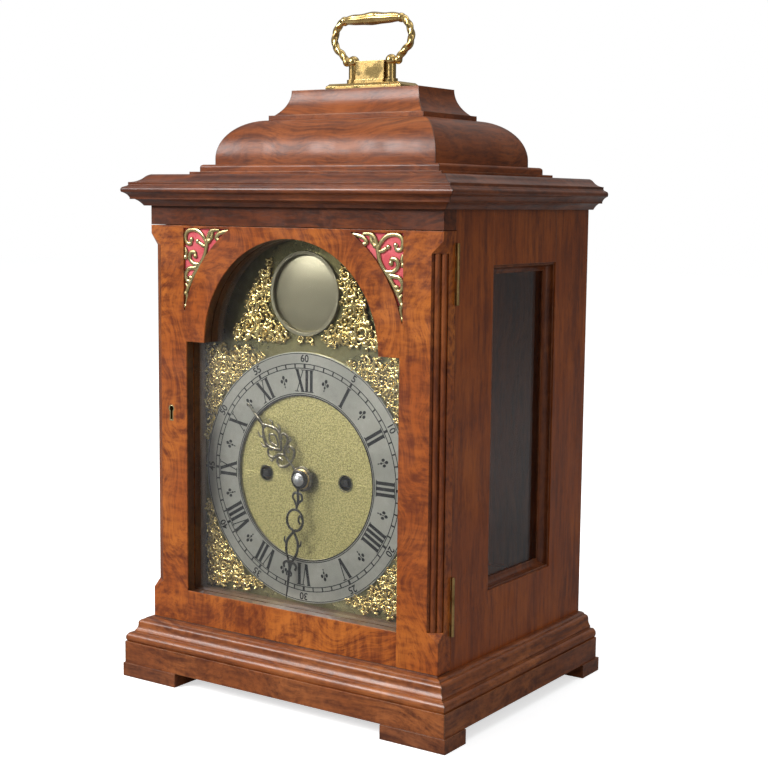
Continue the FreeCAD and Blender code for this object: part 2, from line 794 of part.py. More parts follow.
def turned_post(z1):
    """A turned post with a ring foot and a ball head."""
    y = bell_centre_y
    centre = V(post_x, y, z1)
    foot = rod(centre, Z_AXIS, post_foot_radius, post_foot_height)
    shaft = rod(centre, Z_AXIS, post_radius, pivot_z - z1)
    head = Part.makeSphere(post_head_radius, V(post_x, y, pivot_z))
    return fuse([foot, shaft, head])


def bail_points():
    """Centre line of the right half of the bail, from its pivot to the middle of the grip."""
    w, z = bail_half_width, pivot_z
    return [(post_x + post_head_radius + bail_limb_radius + 0.6, z), (w * 0.80, z + 4.6), (w, z + 10.5),
            (w + 1.2, z + 17.0), (w - 1.0, z + 23.5), (w * 0.84, z + 27.6), (w * 0.62, z + 28.6),
            (w * 0.34, z + 28.6), (0.0, z + bail_rise - bail_grip_radius)]


def bail_radius(share):
    """Radius along the half bail: slim at the limb, swollen in the middle of the grip."""
    swell = max(0.0, (share - 0.62) / 0.38)
    return bail_limb_radius + (bail_grip_radius - bail_limb_radius) * math.sin(swell * math.pi / 2) ** 2


def handle_bail():
    """Cast bail that swings on stubs in the post heads."""
    y = bell_centre_y
    right = bail_points()
    points = [V(-px, y, pz) for px, pz in right] + [V(px, y, pz) for px, pz in reversed(right[:-1])]
    curve = Part.BSplineCurve()
    curve.interpolate(points)
    path = Part.Wire(curve.toShape())
    first, last = curve.FirstParameter, curve.LastParameter
    sections = []
    count = 16
    for k in range(count + 1):
        u = first + (last - first) * k / count
        share = 1 - abs(2 * k / count - 1)
        circle = Part.Circle(curve.value(u), curve.tangent(u)[0], bail_radius(share))
        sections.append(Part.Wire(circle.toShape()))
    body = Part.makeLoft(sections, True, False)
    knuckle_x = right[0][0]
    stub_in = post_x - post_head_radius + 0.2
    pieces = [body]
    for side in (1, -1):
        pieces.append(Part.makeSphere(bail_limb_radius + 0.4, V(side * knuckle_x, y, pivot_z)))
        start = V(side * knuckle_x, y, pivot_z)
        pieces.append(rod(start, V(-side, 0, 0), pivot_pin_radius, knuckle_x - stub_in))
    return fuse(pieces)


# ------------------------------------------------------------------ front door
def sight_wire(grow, y):
    """Outline of the arched opening, grown all round, in the plane at y."""
    half = sight_half + grow
    bottom = sight_bottom - grow
    ledge = spring_z + grow
    radius = arch_radius + grow
    arch_x = math.sqrt(radius ** 2 - grow ** 2)
    steps = [(-half, bottom), (half, bottom), (half, ledge), (arch_x, ledge),
             ((0, spring_z + radius), (-arch_x, ledge)), (-half, ledge)]
    return path_wire(steps, lambda x, z: V(x, y, z))


def sight_block(grow, y0, y1):
    """The arched opening as a solid from y0 to y1."""
    return Part.Face(sight_wire(grow, y0)).extrude(V(0, y1 - y0, 0))


def fret_outline(y):
    """The right-hand corner fret: square at the outer top, hollow towards the arch."""
    radius = arch_radius + arch_band
    top = door_top - fret_top_below_door
    inner_x = math.sqrt(radius ** 2 - (top - spring_z) ** 2)
    low_x = math.sqrt(radius ** 2 - (fret_bottom_z - spring_z) ** 2)
    middle_angle = (math.atan2(top - spring_z, inner_x) + math.atan2(fret_bottom_z - spring_z, low_x)) / 2
    middle = (radius * math.cos(middle_angle), spring_z + radius * math.sin(middle_angle))
    steps = [(fret_outer_x, fret_bottom_z), (fret_outer_x, top), (inner_x, top),
             (middle, (low_x, fret_bottom_z))]
    return Part.Face(path_wire(steps, lambda x, z: V(x, y, z)))


def cant_corners():
    """Plan points of the cant on the right door corner: front edge, side edge and inward direction."""
    front_point = V(half_width - cant_front, case_front, 0)
    side_point = V(half_width, case_front + cant_side, 0)
    along = (side_point - front_point).normalize()
    inward = V(-along.y, along.x, 0)
    return front_point, side_point, along, inward


def cant_cutter():
    """The sunk cant of the right corner, with its pointed stops."""
    front_point, side_point, along, inward = cant_corners()
    z0 = door_bottom + cant_bottom_above_door
    z1 = door_top - cant_top_below_door
    corner = V(half_width, case_front, 0)
    out = (corner - (front_point + side_point) * 0.5)
    far = corner + out
    plan = [front_point, front_point + inward * cant_depth, side_point + inward * cant_depth, side_point, far]
    shaft = Part.Face(polygon([p + V(0, 0, z0) for p in plan])).extrude(V(0, 0, z1 - z0))
    stops = []
    for z, tip in ((z1, cant_top_stop), (z0, -cant_bottom_stop)):
        base = [front_point + V(0, 0, z), side_point + V(0, 0, z), corner + V(0, 0, z)]
        stops.append(pyramid(base, corner + V(0, 0, z + tip)))
    return fuse([shaft] + stops)


def pyramid(base, apex):
    """A pyramid on a flat base."""
    faces = [Part.Face(polygon(base))]
    for a, b in zip(base, base[1:] + base[:1]):
        faces.append(Part.Face(polygon([a, b, apex])))
    return Part.Solid(Part.Shell(faces))


def corner_reeds():
    """Two half-round reeds along each canted corner."""
    front_point, side_point, along, inward = cant_corners()
    z0 = door_bottom + cant_bottom_above_door
    height = door_height - cant_top_below_door - cant_bottom_above_door
    reeds = []
    room = Part.Face(polygon([p + V(0, 0, z0) for p in (front_point, front_point + inward * cant_depth,
                                                       side_point + inward * cant_depth, side_point)]))
    room = room.extrude(V(0, 0, height))
    for k in range(2):
        centre = front_point + inward * cant_depth + along * (reed_quirk + reed_radius * (1 + 2 * k))
        reeds.append(rod(centre + V(0, 0, z0), Z_AXIS, reed_radius, height).common(room))
    return both_sides(fuse(reeds))


def keyhole(grow, y0, y1):
    """Keyhole outline: a round top and a slot, grown all round."""
    top_z = key_z + keyhole_length / 2 - keyhole_radius
    bottom_z = key_z - keyhole_length / 2
    half = keyhole_slot / 2 + grow
    slot = box(-key_x - half, -key_x + half, y0, y1, bottom_z - grow, top_z)
    return fuse([rod_y(-key_x, top_z, y0, y1, keyhole_radius + grow), slot])


def lock_block(grow):
    """Room for the lock behind the keyhole."""
    x0 = -inside_half + door_back_gap
    y1 = door_back + lock_in_case
    return box(x0 - grow, x0 + lock_width + grow, y1 - lock_depth - grow, y1 + grow,
               key_z - lock_height / 2 - grow, key_z + lock_height / 2 + grow)


def bolt_span():
    """Front and back of the bolt."""
    y1 = door_back + lock_in_case - bolt_from_back
    return y1 - bolt_thickness, y1


def front_door_frame():
    """Two stiles, a bottom rail and an arched head."""
    y0, y1 = case_front, door_back
    right = box(sight_half, half_width, y0, y1, door_bottom, door_top)
    bottom = box(-sight_half, sight_half, y0, y1, door_bottom, sight_bottom)
    head = box(-sight_half, sight_half, y0, y1, spring_z, door_top)
    groove = sight_block(glass_lap + groove_clearance, glass_front, glass_back)
    opening = sight_block(0, y0 - 1, y1 + 1)
    silk_y = y0 + fret_pocket
    pocket = fret_outline(y0 - 1).extrude(V(0, fret_pocket + 1, 0))
    through = fret_outline(silk_y).Wires[0].makeOffset2D(-fret_lip)
    through = Part.Face(through).extrude(V(0, door_thickness, 0))
    cutters = fuse([pocket, through])
    right = right.cut(cant_cutter()).cut(groove).cut(cutters)
    left = mirror_x(right)
    for z in front_hinge_zs:
        right = right.cut(door_leaf(z))
    left = left.cut(lock_block(0)).cut(keyhole(lining_wall, y0 - 1, y1 + 1))
    head = head.cut(opening).cut(groove).cut(cutters).cut(mirror_x(cutters))
    return [right, left, bottom.cut(groove), head]


def front_door_glass():
    """Arched pane in its groove."""
    return sight_block(glass_lap, glass_front, glass_back)


def keyhole_lining():
    """Brass lining of the keyhole, back to the lock."""
    y1 = door_back + lock_in_case - lock_depth
    return keyhole(lining_wall, case_front, y1).cut(keyhole(0, case_front - 1, y1 + 1))


def door_lock():
    """Lock case let into the back of the door, built up round the channel of its bolt."""
    case = lock_block(0)
    y0, y1 = bolt_span()
    c = bolt_clearance
    x0 = -inside_half + door_back_gap
    room = box(x0 - 1, x0 + bolt_length + 1, y0 - c, y1 + c, key_z - bolt_height / 2 - c, key_z + bolt_height / 2 + c)
    hole = keyhole(0, case_front, y0 - c)
    return round_gap(case.cut(hole), room)


def lock_bolt():
    """The bolt, at rest inside the lock."""
    y0, y1 = bolt_span()
    x0 = -inside_half + door_back_gap
    return box(x0, x0 + bolt_length, y0, y1, key_z - bolt_height / 2, key_z + bolt_height / 2)


def scroll_plate(outline, rings, rim, bar, y0, thickness):
    """Pierced work: a rim round an outline, filled with touching scroll rings of (x, z, radius)."""
    outer = outline
    inner = Part.Face(outline.Wires[0].makeOffset2D(-rim))
    parts = [outer.cut(inner)]
    for x, z, radius in rings:
        centre = V(x, y0, z)
        outside = Part.Face(Part.Wire(Part.Circle(centre, Y_AXIS, radius).toShape()))
        inside = Part.Face(Part.Wire(Part.Circle(centre, Y_AXIS, radius - bar).toShape()))
        parts.append(outside.cut(inside).common(outline))
    solids = []
    for part in parts:
        for face in part.Faces:
            solids.append(face.extrude(V(0, thickness, 0)))
    return fuse(solids)


def corner_fret():
    """Brass scroll fret of the right corner."""
    top = door_top - fret_top_below_door
    y0 = case_front + fret_setback
    rings = [(fret_outer_x - dx, top - dz, r) for dx, dz, r in fret_rings]
    return scroll_plate(fret_outline(y0), rings, fret_rim, fret_bar, y0, fret_thickness)


def fret_silk():
    """Silk stretched behind the fret."""
    y0 = case_front + fret_setback + fret_thickness
    return fret_outline(y0).extrude(V(0, case_front + fret_pocket - y0, 0))


# ------------------------------------------------------------------ hinges
def front_axis():
    """Axis of the front door's hinges: x and y."""
    return half_width + hinge_axis_out, (door_back + side_front) / 2


def door_leaf(z):
    """Leaf let into the back of the door."""
    x, y = front_axis()
    return box(half_width - hinge_leaf_width, x, door_back - hinge_leaf, door_back,
               z - hinge_length / 2, z + hinge_length / 2)


def case_leaf(z):
    """Leaf let into the front of the case side."""
    x, y = front_axis()
    return box(half_width - hinge_leaf_width, x, side_front, side_front + hinge_leaf,
               z - hinge_length / 2, z + hinge_length / 2)


def back_axis():
    """Axis of the back door's hinges: x and y."""
    return inside_half - back_gap / 2, case_back + hinge_axis_out


def back_door_leaf(z):
    """Leaf let into the edge of the back door."""
    x, y = back_axis()
    edge = inside_half - back_gap
    return box(edge - hinge_leaf, edge, case_back - hinge_leaf_width, y,
               z - back_hinge_length / 2, z + back_hinge_length / 2)


def back_case_leaf(z):
    """Leaf let into the inner face of the case side."""
    x, y = back_axis()
    return box(inside_half, inside_half + hinge_leaf, case_back - hinge_leaf_width, y,
               z - back_hinge_length / 2, z + back_hinge_length / 2)


def hinge_half(leaf, place, z, length, odd, bore):
    """A leaf with its share of the knuckles: the odd or the even ones."""
    x, y = place
    step = length / hinge_knuckles
    piece = leaf
    for k in range(hinge_knuckles):
        z0 = z - length / 2 + k * step
        if (k % 2 == 1) == odd:
            piece = piece.fuse(rod(V(x, y, z0 + knuckle_gap), Z_AXIS, hinge_knuckle_radius, step - 2 * knuckle_gap))
        else:
            piece = piece.cut(rod(V(x, y, z0 - knuckle_gap), Z_AXIS, hinge_knuckle_radius + 0.3, step + 2 * knuckle_gap))
    return piece.cut(rod(V(x, y, z - length), Z_AXIS, bore, 2 * length)).removeSplitter()


def hinge_pin(place, z, length):
    """Pin of one hinge."""
    x, y = place
    return rod(V(x, y, z - length / 2), Z_AXIS, hinge_pin_radius, length)


def front_door_hinges():
    """Door leaves of the front hinges, turning on the pins."""
    bore = hinge_pin_radius + running_clearance
    return [hinge_half(door_leaf(z), front_axis(), z, hinge_length, True, bore) for z in front_hinge_zs]


def back_door_hinges():
    """Door leaves of the back hinges, turning on the pins."""
    bore = hinge_pin_radius + running_clearance
    return [hinge_half(back_door_leaf(z), back_axis(), z, back_hinge_length, True, bore) for z in back_hinge_zs]


def case_hinges():
    """Case leaves of all four hinges, with their pins."""
    pieces = []
    for z in front_hinge_zs:
        pieces.append(hinge_half(case_leaf(z), front_axis(), z, hinge_length, False, hinge_pin_radius))
        pieces.append(hinge_pin(front_axis(), z, hinge_length))
    for z in back_hinge_zs:
        pieces.append(hinge_half(back_case_leaf(z), back_axis(), z, back_hinge_length, False, hinge_pin_radius))
        pieces.append(hinge_pin(back_axis(), z, back_hinge_length))
    return pieces


# ------------------------------------------------------------------ back door
def back_door_frame():
    """Two stiles and two rails, grooved for the panel."""
    half = inside_half - back_gap
    z0, z1 = body_bottom + back_gap, frieze_bottom - back_gap
    y0, y1 = case_back - back_door_thickness, case_back
    right = box(half - back_stile, half, y0, y1, z0, z1)
    bottom = box(-half + back_stile, half - back_stile, y0, y1, z0, z0 + back_rail)
    top = box(-half + back_stile, half - back_stile, y0, y1, z1 - back_rail, z1)
    groove = back_panel(groove_clearance)
    left = mirror_x(right).cut(groove)
    right = right.cut(groove)
    for z in back_hinge_zs:
        right = right.cut(back_door_leaf(z))
    hole = rod_y(-half + knob_from_edge, knob_z, y0 - 1, y1 + 1, knob_stem_radius + running_clearance)
    return [right, left.cut(hole), bottom.cut(groove), top.cut(groove)]


def back_panel(grow):
    """The flat wooden panel of the back door, or its groove."""
    half = inside_half - back_gap - back_stile + panel_lap + grow
    z0 = body_bottom + back_gap + back_rail - panel_lap - grow
    z1 = frieze_bottom - back_gap - back_rail + panel_lap + grow
    middle = case_back - back_door_thickness / 2
    return box(-half, half, middle - panel_thickness / 2, middle + panel_thickness / 2, z0, z1)


def catch_span():
    """Front and back of the catch inside the case."""
    y1 = case_back - back_door_thickness - door_back_gap
    return y1 - catch_thickness, y1


def back_catch():
    """Knob outside, stem, and the catch, hanging at rest, that turns up into its slot in the side."""
    x = -inside_half + back_gap + knob_from_edge
    y0, y1 = catch_span()
    blade = box(x - catch_width / 2, x + catch_width / 2, y0, y1, knob_z - catch_length, knob_z)
    hub = rod_y(x, knob_z, y0, y1, catch_width / 2)
    knob_y = case_back + door_back_gap
    stem = rod_y(x, knob_z, y1, knob_y + knob_collar, knob_stem_radius)
    collar = rod_y(x, knob_z, knob_y, knob_y + knob_collar, knob_radius)
    grip = box(x - knob_grip / 2, x + knob_grip / 2, knob_y, case_back + rear_foot_proud - knob_inset,
               knob_z - knob_radius, knob_z + knob_radius)
    return fuse([blade, hub, stem, collar, grip])


# ------------------------------------------------------------------ dial
def dial_mask():
    """Wooden frame behind the door that covers the edge of the dial."""
    y0, y1 = side_front, dial_front_y
    opening = sight_block(0, y0 - 1, y1 + 1)
    right = box(sight_half, inside_half, y0, y1, body_bottom, frieze_bottom)
    pocket = lock_block(lock_room)
    notch = box(-inside_half, pocket.BoundBox.XMax, y0 - 1, y1 + 1, pocket.BoundBox.ZMin, pocket.BoundBox.ZMax)
    left = mirror_x(right).cut(notch)
    bottom = box(-sight_half, sight_half, y0, y1, body_bottom, sight_bottom)
    top = box(-sight_half, sight_half, y0, y1, spring_z, frieze_bottom).cut(opening)
    return [right, left, bottom, top]


def dial_plate():
    """Arched brass plate with its holes and four feet."""
    half = dial_width / 2
    shoulder = spring_z + dial_shoulder_lap
    radius = arch_radius + dial_arch_lap
    arch_x = math.sqrt(radius ** 2 - dial_shoulder_lap ** 2)
    bottom = sight_bottom - dial_bottom_lap
    steps = [(-half, bottom), (half, bottom), (half, shoulder), (arch_x, shoulder),
             ((0, spring_z + radius), (-arch_x, shoulder)), (-half, shoulder)]
    plate = Part.Face(path_wire(steps, lambda x, z: V(x, dial_front_y, z)))
    plate = plate.extrude(V(0, dial_thickness, 0))
    pieces = [plate]
    for x in (-winding_x, winding_x):
        pieces.append(rod_y(x, dial_centre_z, dial_front_y - winding_rim, dial_front_y,
                            winding_hole_radius + winding_rim_width))
    for x in (-dial_foot_x, dial_foot_x):
        for z in dial_foot_zs:
            pieces.append(rod_y(x, z, dial_back_y, front_plate_y, dial_foot_radius))
    body = fuse(pieces)
    for x in (-winding_x, winding_x):
        body = body.cut(rod_y(x, dial_centre_z, dial_front_y - 1, dial_back_y + 1, winding_hole_radius))
    return body.cut(rod_y(0, dial_centre_z, dial_front_y - 1, dial_back_y + 1, centre_hole_radius))


def chapter_ring():
    """Flat ring that carries the numerals."""
    y0 = dial_front_y - ring_thickness
    ring = rod_y(0, dial_centre_z, y0, dial_front_y, ring_outer)
    return ring.cut(rod_y(0, dial_centre_z, y0 - 1, dial_front_y + 1, ring_inner))


def arch_boss():
    """Plain domed disc in the arch, in a raised rim."""
    z = boss_z
    y0 = dial_front_y - boss_thickness
    rim = rod_y(0, z, y0, dial_front_y, boss_radius).cut(rod_y(0, z, y0 - 1, dial_front_y + 1, boss_radius - boss_rim))
    rise = boss_thickness - boss_dome_sunk
    disc_radius = boss_radius - boss_rim
    sphere_radius = (disc_radius ** 2 + rise ** 2) / (2 * rise)
    ball = Part.makeSphere(sphere_radius, V(0, dial_front_y - rise + sphere_radius, z))
    dome = ball.common(rod_y(0, z, y0 - 1, dial_front_y, disc_radius))
    return [rim, dome]


def corner_spandrel(top):
    """Cast scrollwork in a right-hand corner of the dial."""
    y0 = dial_front_y - spandrel_thickness
    x1 = sight_half - spandrel_gap
    z1 = (spring_z - dial_centre_z if top else dial_centre_z - sight_bottom) - spandrel_gap
    radius = ring_outer + spandrel_gap
    lx = math.sqrt(radius ** 2 - z1 ** 2) if radius > z1 else 0.0
    lz = math.sqrt(radius ** 2 - x1 ** 2) if radius > x1 else 0.0
    start_x, start_z = max(lx, spandrel_tip), max(lz, spandrel_tip)
    a0, a1 = math.atan2(start_z, math.sqrt(radius ** 2 - start_z ** 2)), math.atan2(math.sqrt(radius ** 2 - start_x ** 2), start_x)
    mid = (a0 + a1) / 2
    way = 1 if top else -1
    steps = [(x1, start_z), (x1, z1), (start_x, z1), (start_x, radius * math.sin(a1)),
             ((radius * math.cos(mid), radius * math.sin(mid)), (radius * math.cos(a0), start_z))]
    face = Part.Face(path_wire(steps, lambda x, z: V(x, y0, dial_centre_z + way * z)))
    rings = [(x1 - dx, dial_centre_z + way * (z1 - dz), r) for dx, dz, r in spandrel_rings]
    return scroll_plate(face, rings, spandrel_rim, spandrel_bar, y0, spandrel_thickness)


def arch_spandrel():
    """Cast scrollwork on the right of the boss."""
    y0 = dial_front_y - spandrel_thickness
    inner = boss_radius + spandrel_gap
    outer = arch_radius - arch_spandrel_margin
    top = spring_z + arch_radius - arch_spandrel_top
    disc = Part.Face(Part.Wire(Part.Circle(V(0, y0, spring_z), Y_AXIS, outer).toShape()))
    hole = Part.Face(Part.Wire(Part.Circle(V(0, y0, boss_z), Y_AXIS, inner).toShape()))
    room = Part.Face(polygon([V(arch_tip_x, y0, spring_z + arch_foot), V(BIG, y0, spring_z + arch_foot),
                              V(BIG, y0, top), V(arch_tip_x, y0, top)]))
    outline = disc.cut(hole).common(room)
    outline = max(outline.Faces, key=lambda f: f.Area)
    rings = [(x, spring_z + dz, r) for x, dz, r in arch_rings]
    return scroll_plate(outline, rings, spandrel_rim, spandrel_bar, y0, spandrel_thickness)


def spandrels():
    """Two arch spandrels and four corner spandrels."""
    return both_sides(arch_spandrel()) + both_sides(corner_spandrel(True)) + both_sides(corner_spandrel(False))


# ------------------------------------------------------------------ hands
def hand_ring(x, z, radius, bar, y0):
    """A pierced round in a hand."""
    outer = rod_y(x, z, y0, y0 + hand_thickness, radius)
    return outer.cut(rod_y(x, z, y0 - 1, y0 + hand_thickness + 1, radius - bar))


def hand_blade(half_widths, y0):
    """A flat blade: (half width, distance from the centre) points up one side, mirrored on the other."""
    right = [(w, dial_centre_z + d) for w, d in half_widths]
    left = [(-x, z) for x, z in reversed(right) if x > 0]
    return plate_xz(right + left, y0, y0 + hand_thickness)


def hand_stem(half, low, high, y0):
    """The straight stem of a hand."""
    return box(-half, half, y0, y0 + hand_thickness, dial_centre_z + low, dial_centre_z + high)


def hour_hand():
    """Pierced hour hand: two curls, a broad pierced leaf, a spade and a slim tip, on its collet."""
    y0 = hour_hand_y - hand_thickness
    c = dial_centre_z
    leaf = hand_blade([(0, 19.5), (5.5, 22.5), (9.4, 28.0), (8.0, 33.5), (8.8, 38.0), (4.8, 44.0), (1.6, 48.5),
                       (2.8, 52.5), (1.1, 57.0), (0.5, hour_length)], y0)
    window = [(1.6, 25.5), (4.6, 26.0), (7.0, 28.8), (5.6, 33.0), (6.2, 37.0), (3.4, 41.0), (1.4, 43.0), (2.4, 36.0)]
    through = plate_xz([(x, c + z) for x, z in window], y0 - 1, y0 + hand_thickness + 1)
    leaf = leaf.cut(through).cut(mirror_x(through))
    curls = [hand_ring(side * curl_x, c + curl_z, curl_radius, hand_bar, y0) for side in (-1, 1)]
    hub = rod_y(0, c, y0, y0 + hand_thickness, hour_hub_radius)
    hand = fuse([leaf, hand_stem(stem_half, hour_hub_radius - 1, 21.0, y0), hub] + curls)
    bore = rod_y(0, c, y0 - 1, y0 + hand_thickness + 1, hour_pipe_outer())
    return turn_about_y(hand.cut(bore), 0, c, hour_angle)


def minute_hand():
    """Pierced minute hand: a knot, an open round, paired scrolls and a long blade, with collet and cap."""
    y0 = minute_hand_y - hand_thickness
    c = dial_centre_z
    blade = hand_blade([(stem_half, 57.0), (stem_half, 66.0), (0.45, minute_length)], y0)
    low_stem = hand_stem(stem_half, minute_hub_radius - 1, 22.5, y0)
    high_stem = hand_stem(stem_half, 34.7, 58.0, y0)
    rings = [hand_ring(0, c + 28.6, 6.7, hand_bar, y0)]
    for x, z, r in ((2.6, 12.0, 2.9), (3.2, 42.4, 3.8), (3.0, 49.6, 3.7), (2.2, 56.2, 3.0), (2.4, 63.0, 2.4)):
        rings += [hand_ring(side * x, c + z, r, hand_bar, y0) for side in (-1, 1)]
    hub = rod_y(0, c, y0, y0 + hand_thickness, minute_hub_radius)
    cap = rod_y(0, c, y0 - collet_thickness, y0, collet_radius)
    tip = Part.makeSphere(centre_front_radius, V(0, y0 - collet_thickness, c))
    tip = tip.common(rod_y(0, c, y0 - collet_thickness - centre_front_radius, y0, centre_front_radius))
    hand = fuse([blade, low_stem, high_stem, hub, cap, tip] + rings)
    bore = rod_y(0, c, y0, y0 + hand_thickness + 1, centre_front_radius)
    return turn_about_y(hand.cut(bore), 0, c, minute_angle)


def hour_pipe_inner():
    """Bore of the hour pipe over the centre arbor's front part."""
    return centre_front_radius + running_clearance


def hour_pipe_outer():
    """Outside of the hour pipe."""
    return hour_pipe_inner() + hour_pipe_wall


# ------------------------------------------------------------------ wheels
def pitch_radius(teeth, module):
    """Radius where two wheels roll on each other."""
    return teeth * module / 2


def at(x, z, degrees, distance):
    """The point at a distance in a direction, seen from the front."""
    return x + distance * math.cos(math.radians(degrees)), z + distance * math.sin(math.radians(degrees))


def gear_points(teeth, module, x, z, phase):
    """Slim-toothed outline; a tooth points in the direction of the phase."""
    r = pitch_radius(teeth, module)
    tip, root = r + addendum * module, r - dedendum * module
    pitch = 360.0 / teeth
    points = []
    for k in range(teeth):
        a = phase + k * pitch
        for radius, share in ((root, -root_share), (r, -pitch_share), (tip, -tip_share),
                              (tip, tip_share), (r, pitch_share), (root, root_share)):
            points.append(at(x, z, a + share * pitch, radius))
    return points


def mesh_phase(phase, teeth, other_teeth, direction):
    """Phase of the other wheel of a pair, so that its teeth stand between the first wheel's."""
    return direction + 180.0 - (phase - direction) * teeth / other_teeth - 180.0 / other_teeth


def wheel(teeth, module, x, z, phase, y0, thickness):
    """A toothed wheel with four crossings."""
    body = plate_xz(gear_points(teeth, module, x, z, phase), y0, y0 + thickness)
    rim = pitch_radius(teeth, module) - rim_share * pitch_radius(teeth, module) - dedendum * module
    hub = max(arbor_radius + 2.0, hub_share * pitch_radius(teeth, module))
    window = rod_y(x, z, y0 - 1, y0 + thickness + 1, rim).cut(rod_y(x, z, y0 - 2, y0 + thickness + 2, hub))
    for degrees in (45.0, 135.0):
        bar = box(x - BIG / 2, x + BIG / 2, y0 - 2, y0 + thickness + 2, z - spoke_half, z + spoke_half)
        window = window.cut(turn_about_y(bar, x, z, degrees))
    return body.cut(window)


def pinion(teeth, module, x, z, phase, y0, y1):
    """A pinion: the same teeth, without crossings."""
    return plate_xz(gear_points(teeth, module, x, z, phase), y0, y1)


def pinion_core(teeth, module):
    """Arbor radius that leaves a pinion's teeth free."""
    return min(arbor_radius, pitch_radius(teeth, module) - dedendum * module)


def arbor(x, z, radius):
    """An arbor between the plates, with a pivot in each."""
    y0, y1 = front_plate_y + plate_thickness, back_plate_y
    body = rod_y(x, z, y0 + pivot_shoulder, y1 - pivot_shoulder, radius)
    pivots = rod_y(x, z, front_plate_y, back_plate_rear, pivot_radius)
    return [body, pivots]


# directions are seen from the front: 0 is right, 90 is up
def going_layout():
    """Places and phases of the going train."""
    c = dial_centre_z
    third = (0.0, c + pitch_radius(centre_teeth + third_pinion_teeth, centre_module))
    escape = (0.0, third[1] + pitch_radius(third_teeth + escape_pinion_teeth, third_module))
    phase = {"great": 180.0}
    phase["centre_pinion"] = mesh_phase(phase["great"], great_teeth, centre_pinion_teeth, 180.0)
    phase["centre"] = 90.0
    phase["third_pinion"] = mesh_phase(phase["centre"], centre_teeth, third_pinion_teeth, 90.0)
    phase["third"] = 90.0
    phase["escape_pinion"] = mesh_phase(phase["third"], third_teeth, escape_pinion_teeth, 90.0)
    return third, escape, phase


def strike_layout():
    """Places and phases of the strike train."""
    x, z = -winding_x, dial_centre_z
    pin = at(x, z, pin_wheel_direction, pitch_radius(great_teeth + pin_pinion_teeth, great_module))
    gather = at(pin[0], pin[1], gather_direction, pitch_radius(pin_teeth + gather_pinion_teeth, strike_module))
    fly = at(gather[0], gather[1], fly_direction, pitch_radius(gather_teeth + fly_pinion_teeth, strike_module))
    phase = {"great": pin_wheel_direction, "pin": gather_direction, "gather": fly_direction}
    phase["pin_pinion"] = mesh_phase(phase["great"], great_teeth, pin_pinion_teeth, pin_wheel_direction)
    phase["gather_pinion"] = mesh_phase(phase["pin"], pin_teeth, gather_pinion_teeth, gather_direction)
    phase["fly_pinion"] = mesh_phase(phase["gather"], gather_teeth, fly_pinion_teeth, fly_direction)
    return pin, gather, fly, phase


def motion_layout():
    """Place and phases of the minute wheel under the centre."""
    stud = (0.0, dial_centre_z - pitch_radius(cannon_teeth + minute_wheel_teeth, cannon_module))
    phase = {"cannon": 270.0}
    phase["minute"] = mesh_phase(phase["cannon"], cannon_teeth, minute_wheel_teeth, 270.0)
    phase["minute_pinion"] = 90.0
    phase["hour"] = mesh_phase(phase["minute_pinion"], minute_pinion_teeth, hour_teeth, 90.0)
    return stud, phase


def barrel(x, great_y, drum_y, phase):
    """A spring barrel with its great wheel, turning on the winding arbor."""
    c = dial_centre_z
    rim = plate_xz(gear_points(great_teeth, great_module, x, c, phase), great_y, great_y + wheel_thickness)
    drum = rod_y(x, c, drum_y, drum_y + barrel_length, barrel_radius)
    front, back = min(great_y, drum_y), max(great_y + wheel_thickness, drum_y + barrel_length)
    cap = rod_y(x, c, front, back, barrel_radius - barrel_rim)
    body = fuse([rim, drum, cap])
    return body.cut(rod_y(x, c, drum_y - BIG / 2, drum_y + BIG / 2, barrel_arbor_radius + running_clearance))


def going_barrel():
    """Going barrel: the great wheel is behind the drum."""
    third, escape, phase = going_layout()
    return barrel(winding_x, going_great_y, going_great_y - barrel_length, phase["great"])


def strike_barrel():
    """Strike barrel: the great wheel is in front of the drum."""
    pin, gather, fly, phase = strike_layout()
    return barrel(-winding_x, strike_great_y, strike_great_y + wheel_thickness, phase["great"])


def winding_arbor(x):
    """Winding arbor with its square and ratchet."""
    c = dial_centre_z
    half = winding_square / 2
    square = box(x - half, x + half, winding_front_y, ratchet_y(), c - half, c + half)
    body = rod_y(x, c, ratchet_y(), back_plate_rear, barrel_arbor_radius)
    pitch = 360.0 / ratchet_teeth
    points = []
    for k in range(ratchet_teeth):
        points.append(at(x, c, k * pitch, ratchet_radius))
        points.append(at(x, c, k * pitch + 0.12 * pitch, ratchet_radius - 1.6))
    ratchet = plate_xz(points, ratchet_y(), ratchet_y() + motion_thickness)
    return fuse([square, body, ratchet])


def ratchet_y():
    """Front of the ratchets."""
    return front_plate_y - ratchet_gap - motion_thickness


def centre_arbor():
    """Centre arbor with its pinion and wheel, and the front part that carries the cannon pinion."""
    third, escape, phase = going_layout()
    stud, motion = motion_layout()
    c = dial_centre_z
    core = pinion_core(centre_pinion_teeth, great_module)
    body = rod_y(0, c, front_plate_y - 0.5, back_plate_y - pivot_shoulder, core)
    pivot = rod_y(0, c, back_plate_y - 1, back_plate_rear, pivot_radius)
    drive = pinion(centre_pinion_teeth, great_module, 0, c, phase["centre_pinion"],
                   going_great_y - pinion_overhang, going_great_y + wheel_thickness + pinion_overhang)
    big = wheel(centre_teeth, centre_module, 0, c, phase["centre"], centre_wheel_y, wheel_thickness)
    cannon = pinion(cannon_teeth, cannon_module, 0, c, motion["cannon"], cannon_y - 0.2, front_plate_y - 0.5)
    pipe = rod_y(0, c, minute_hand_y - hand_thickness, front_plate_y - 0.5, centre_front_radius)
    return fuse([body, pivot, drive, big, cannon, pipe])


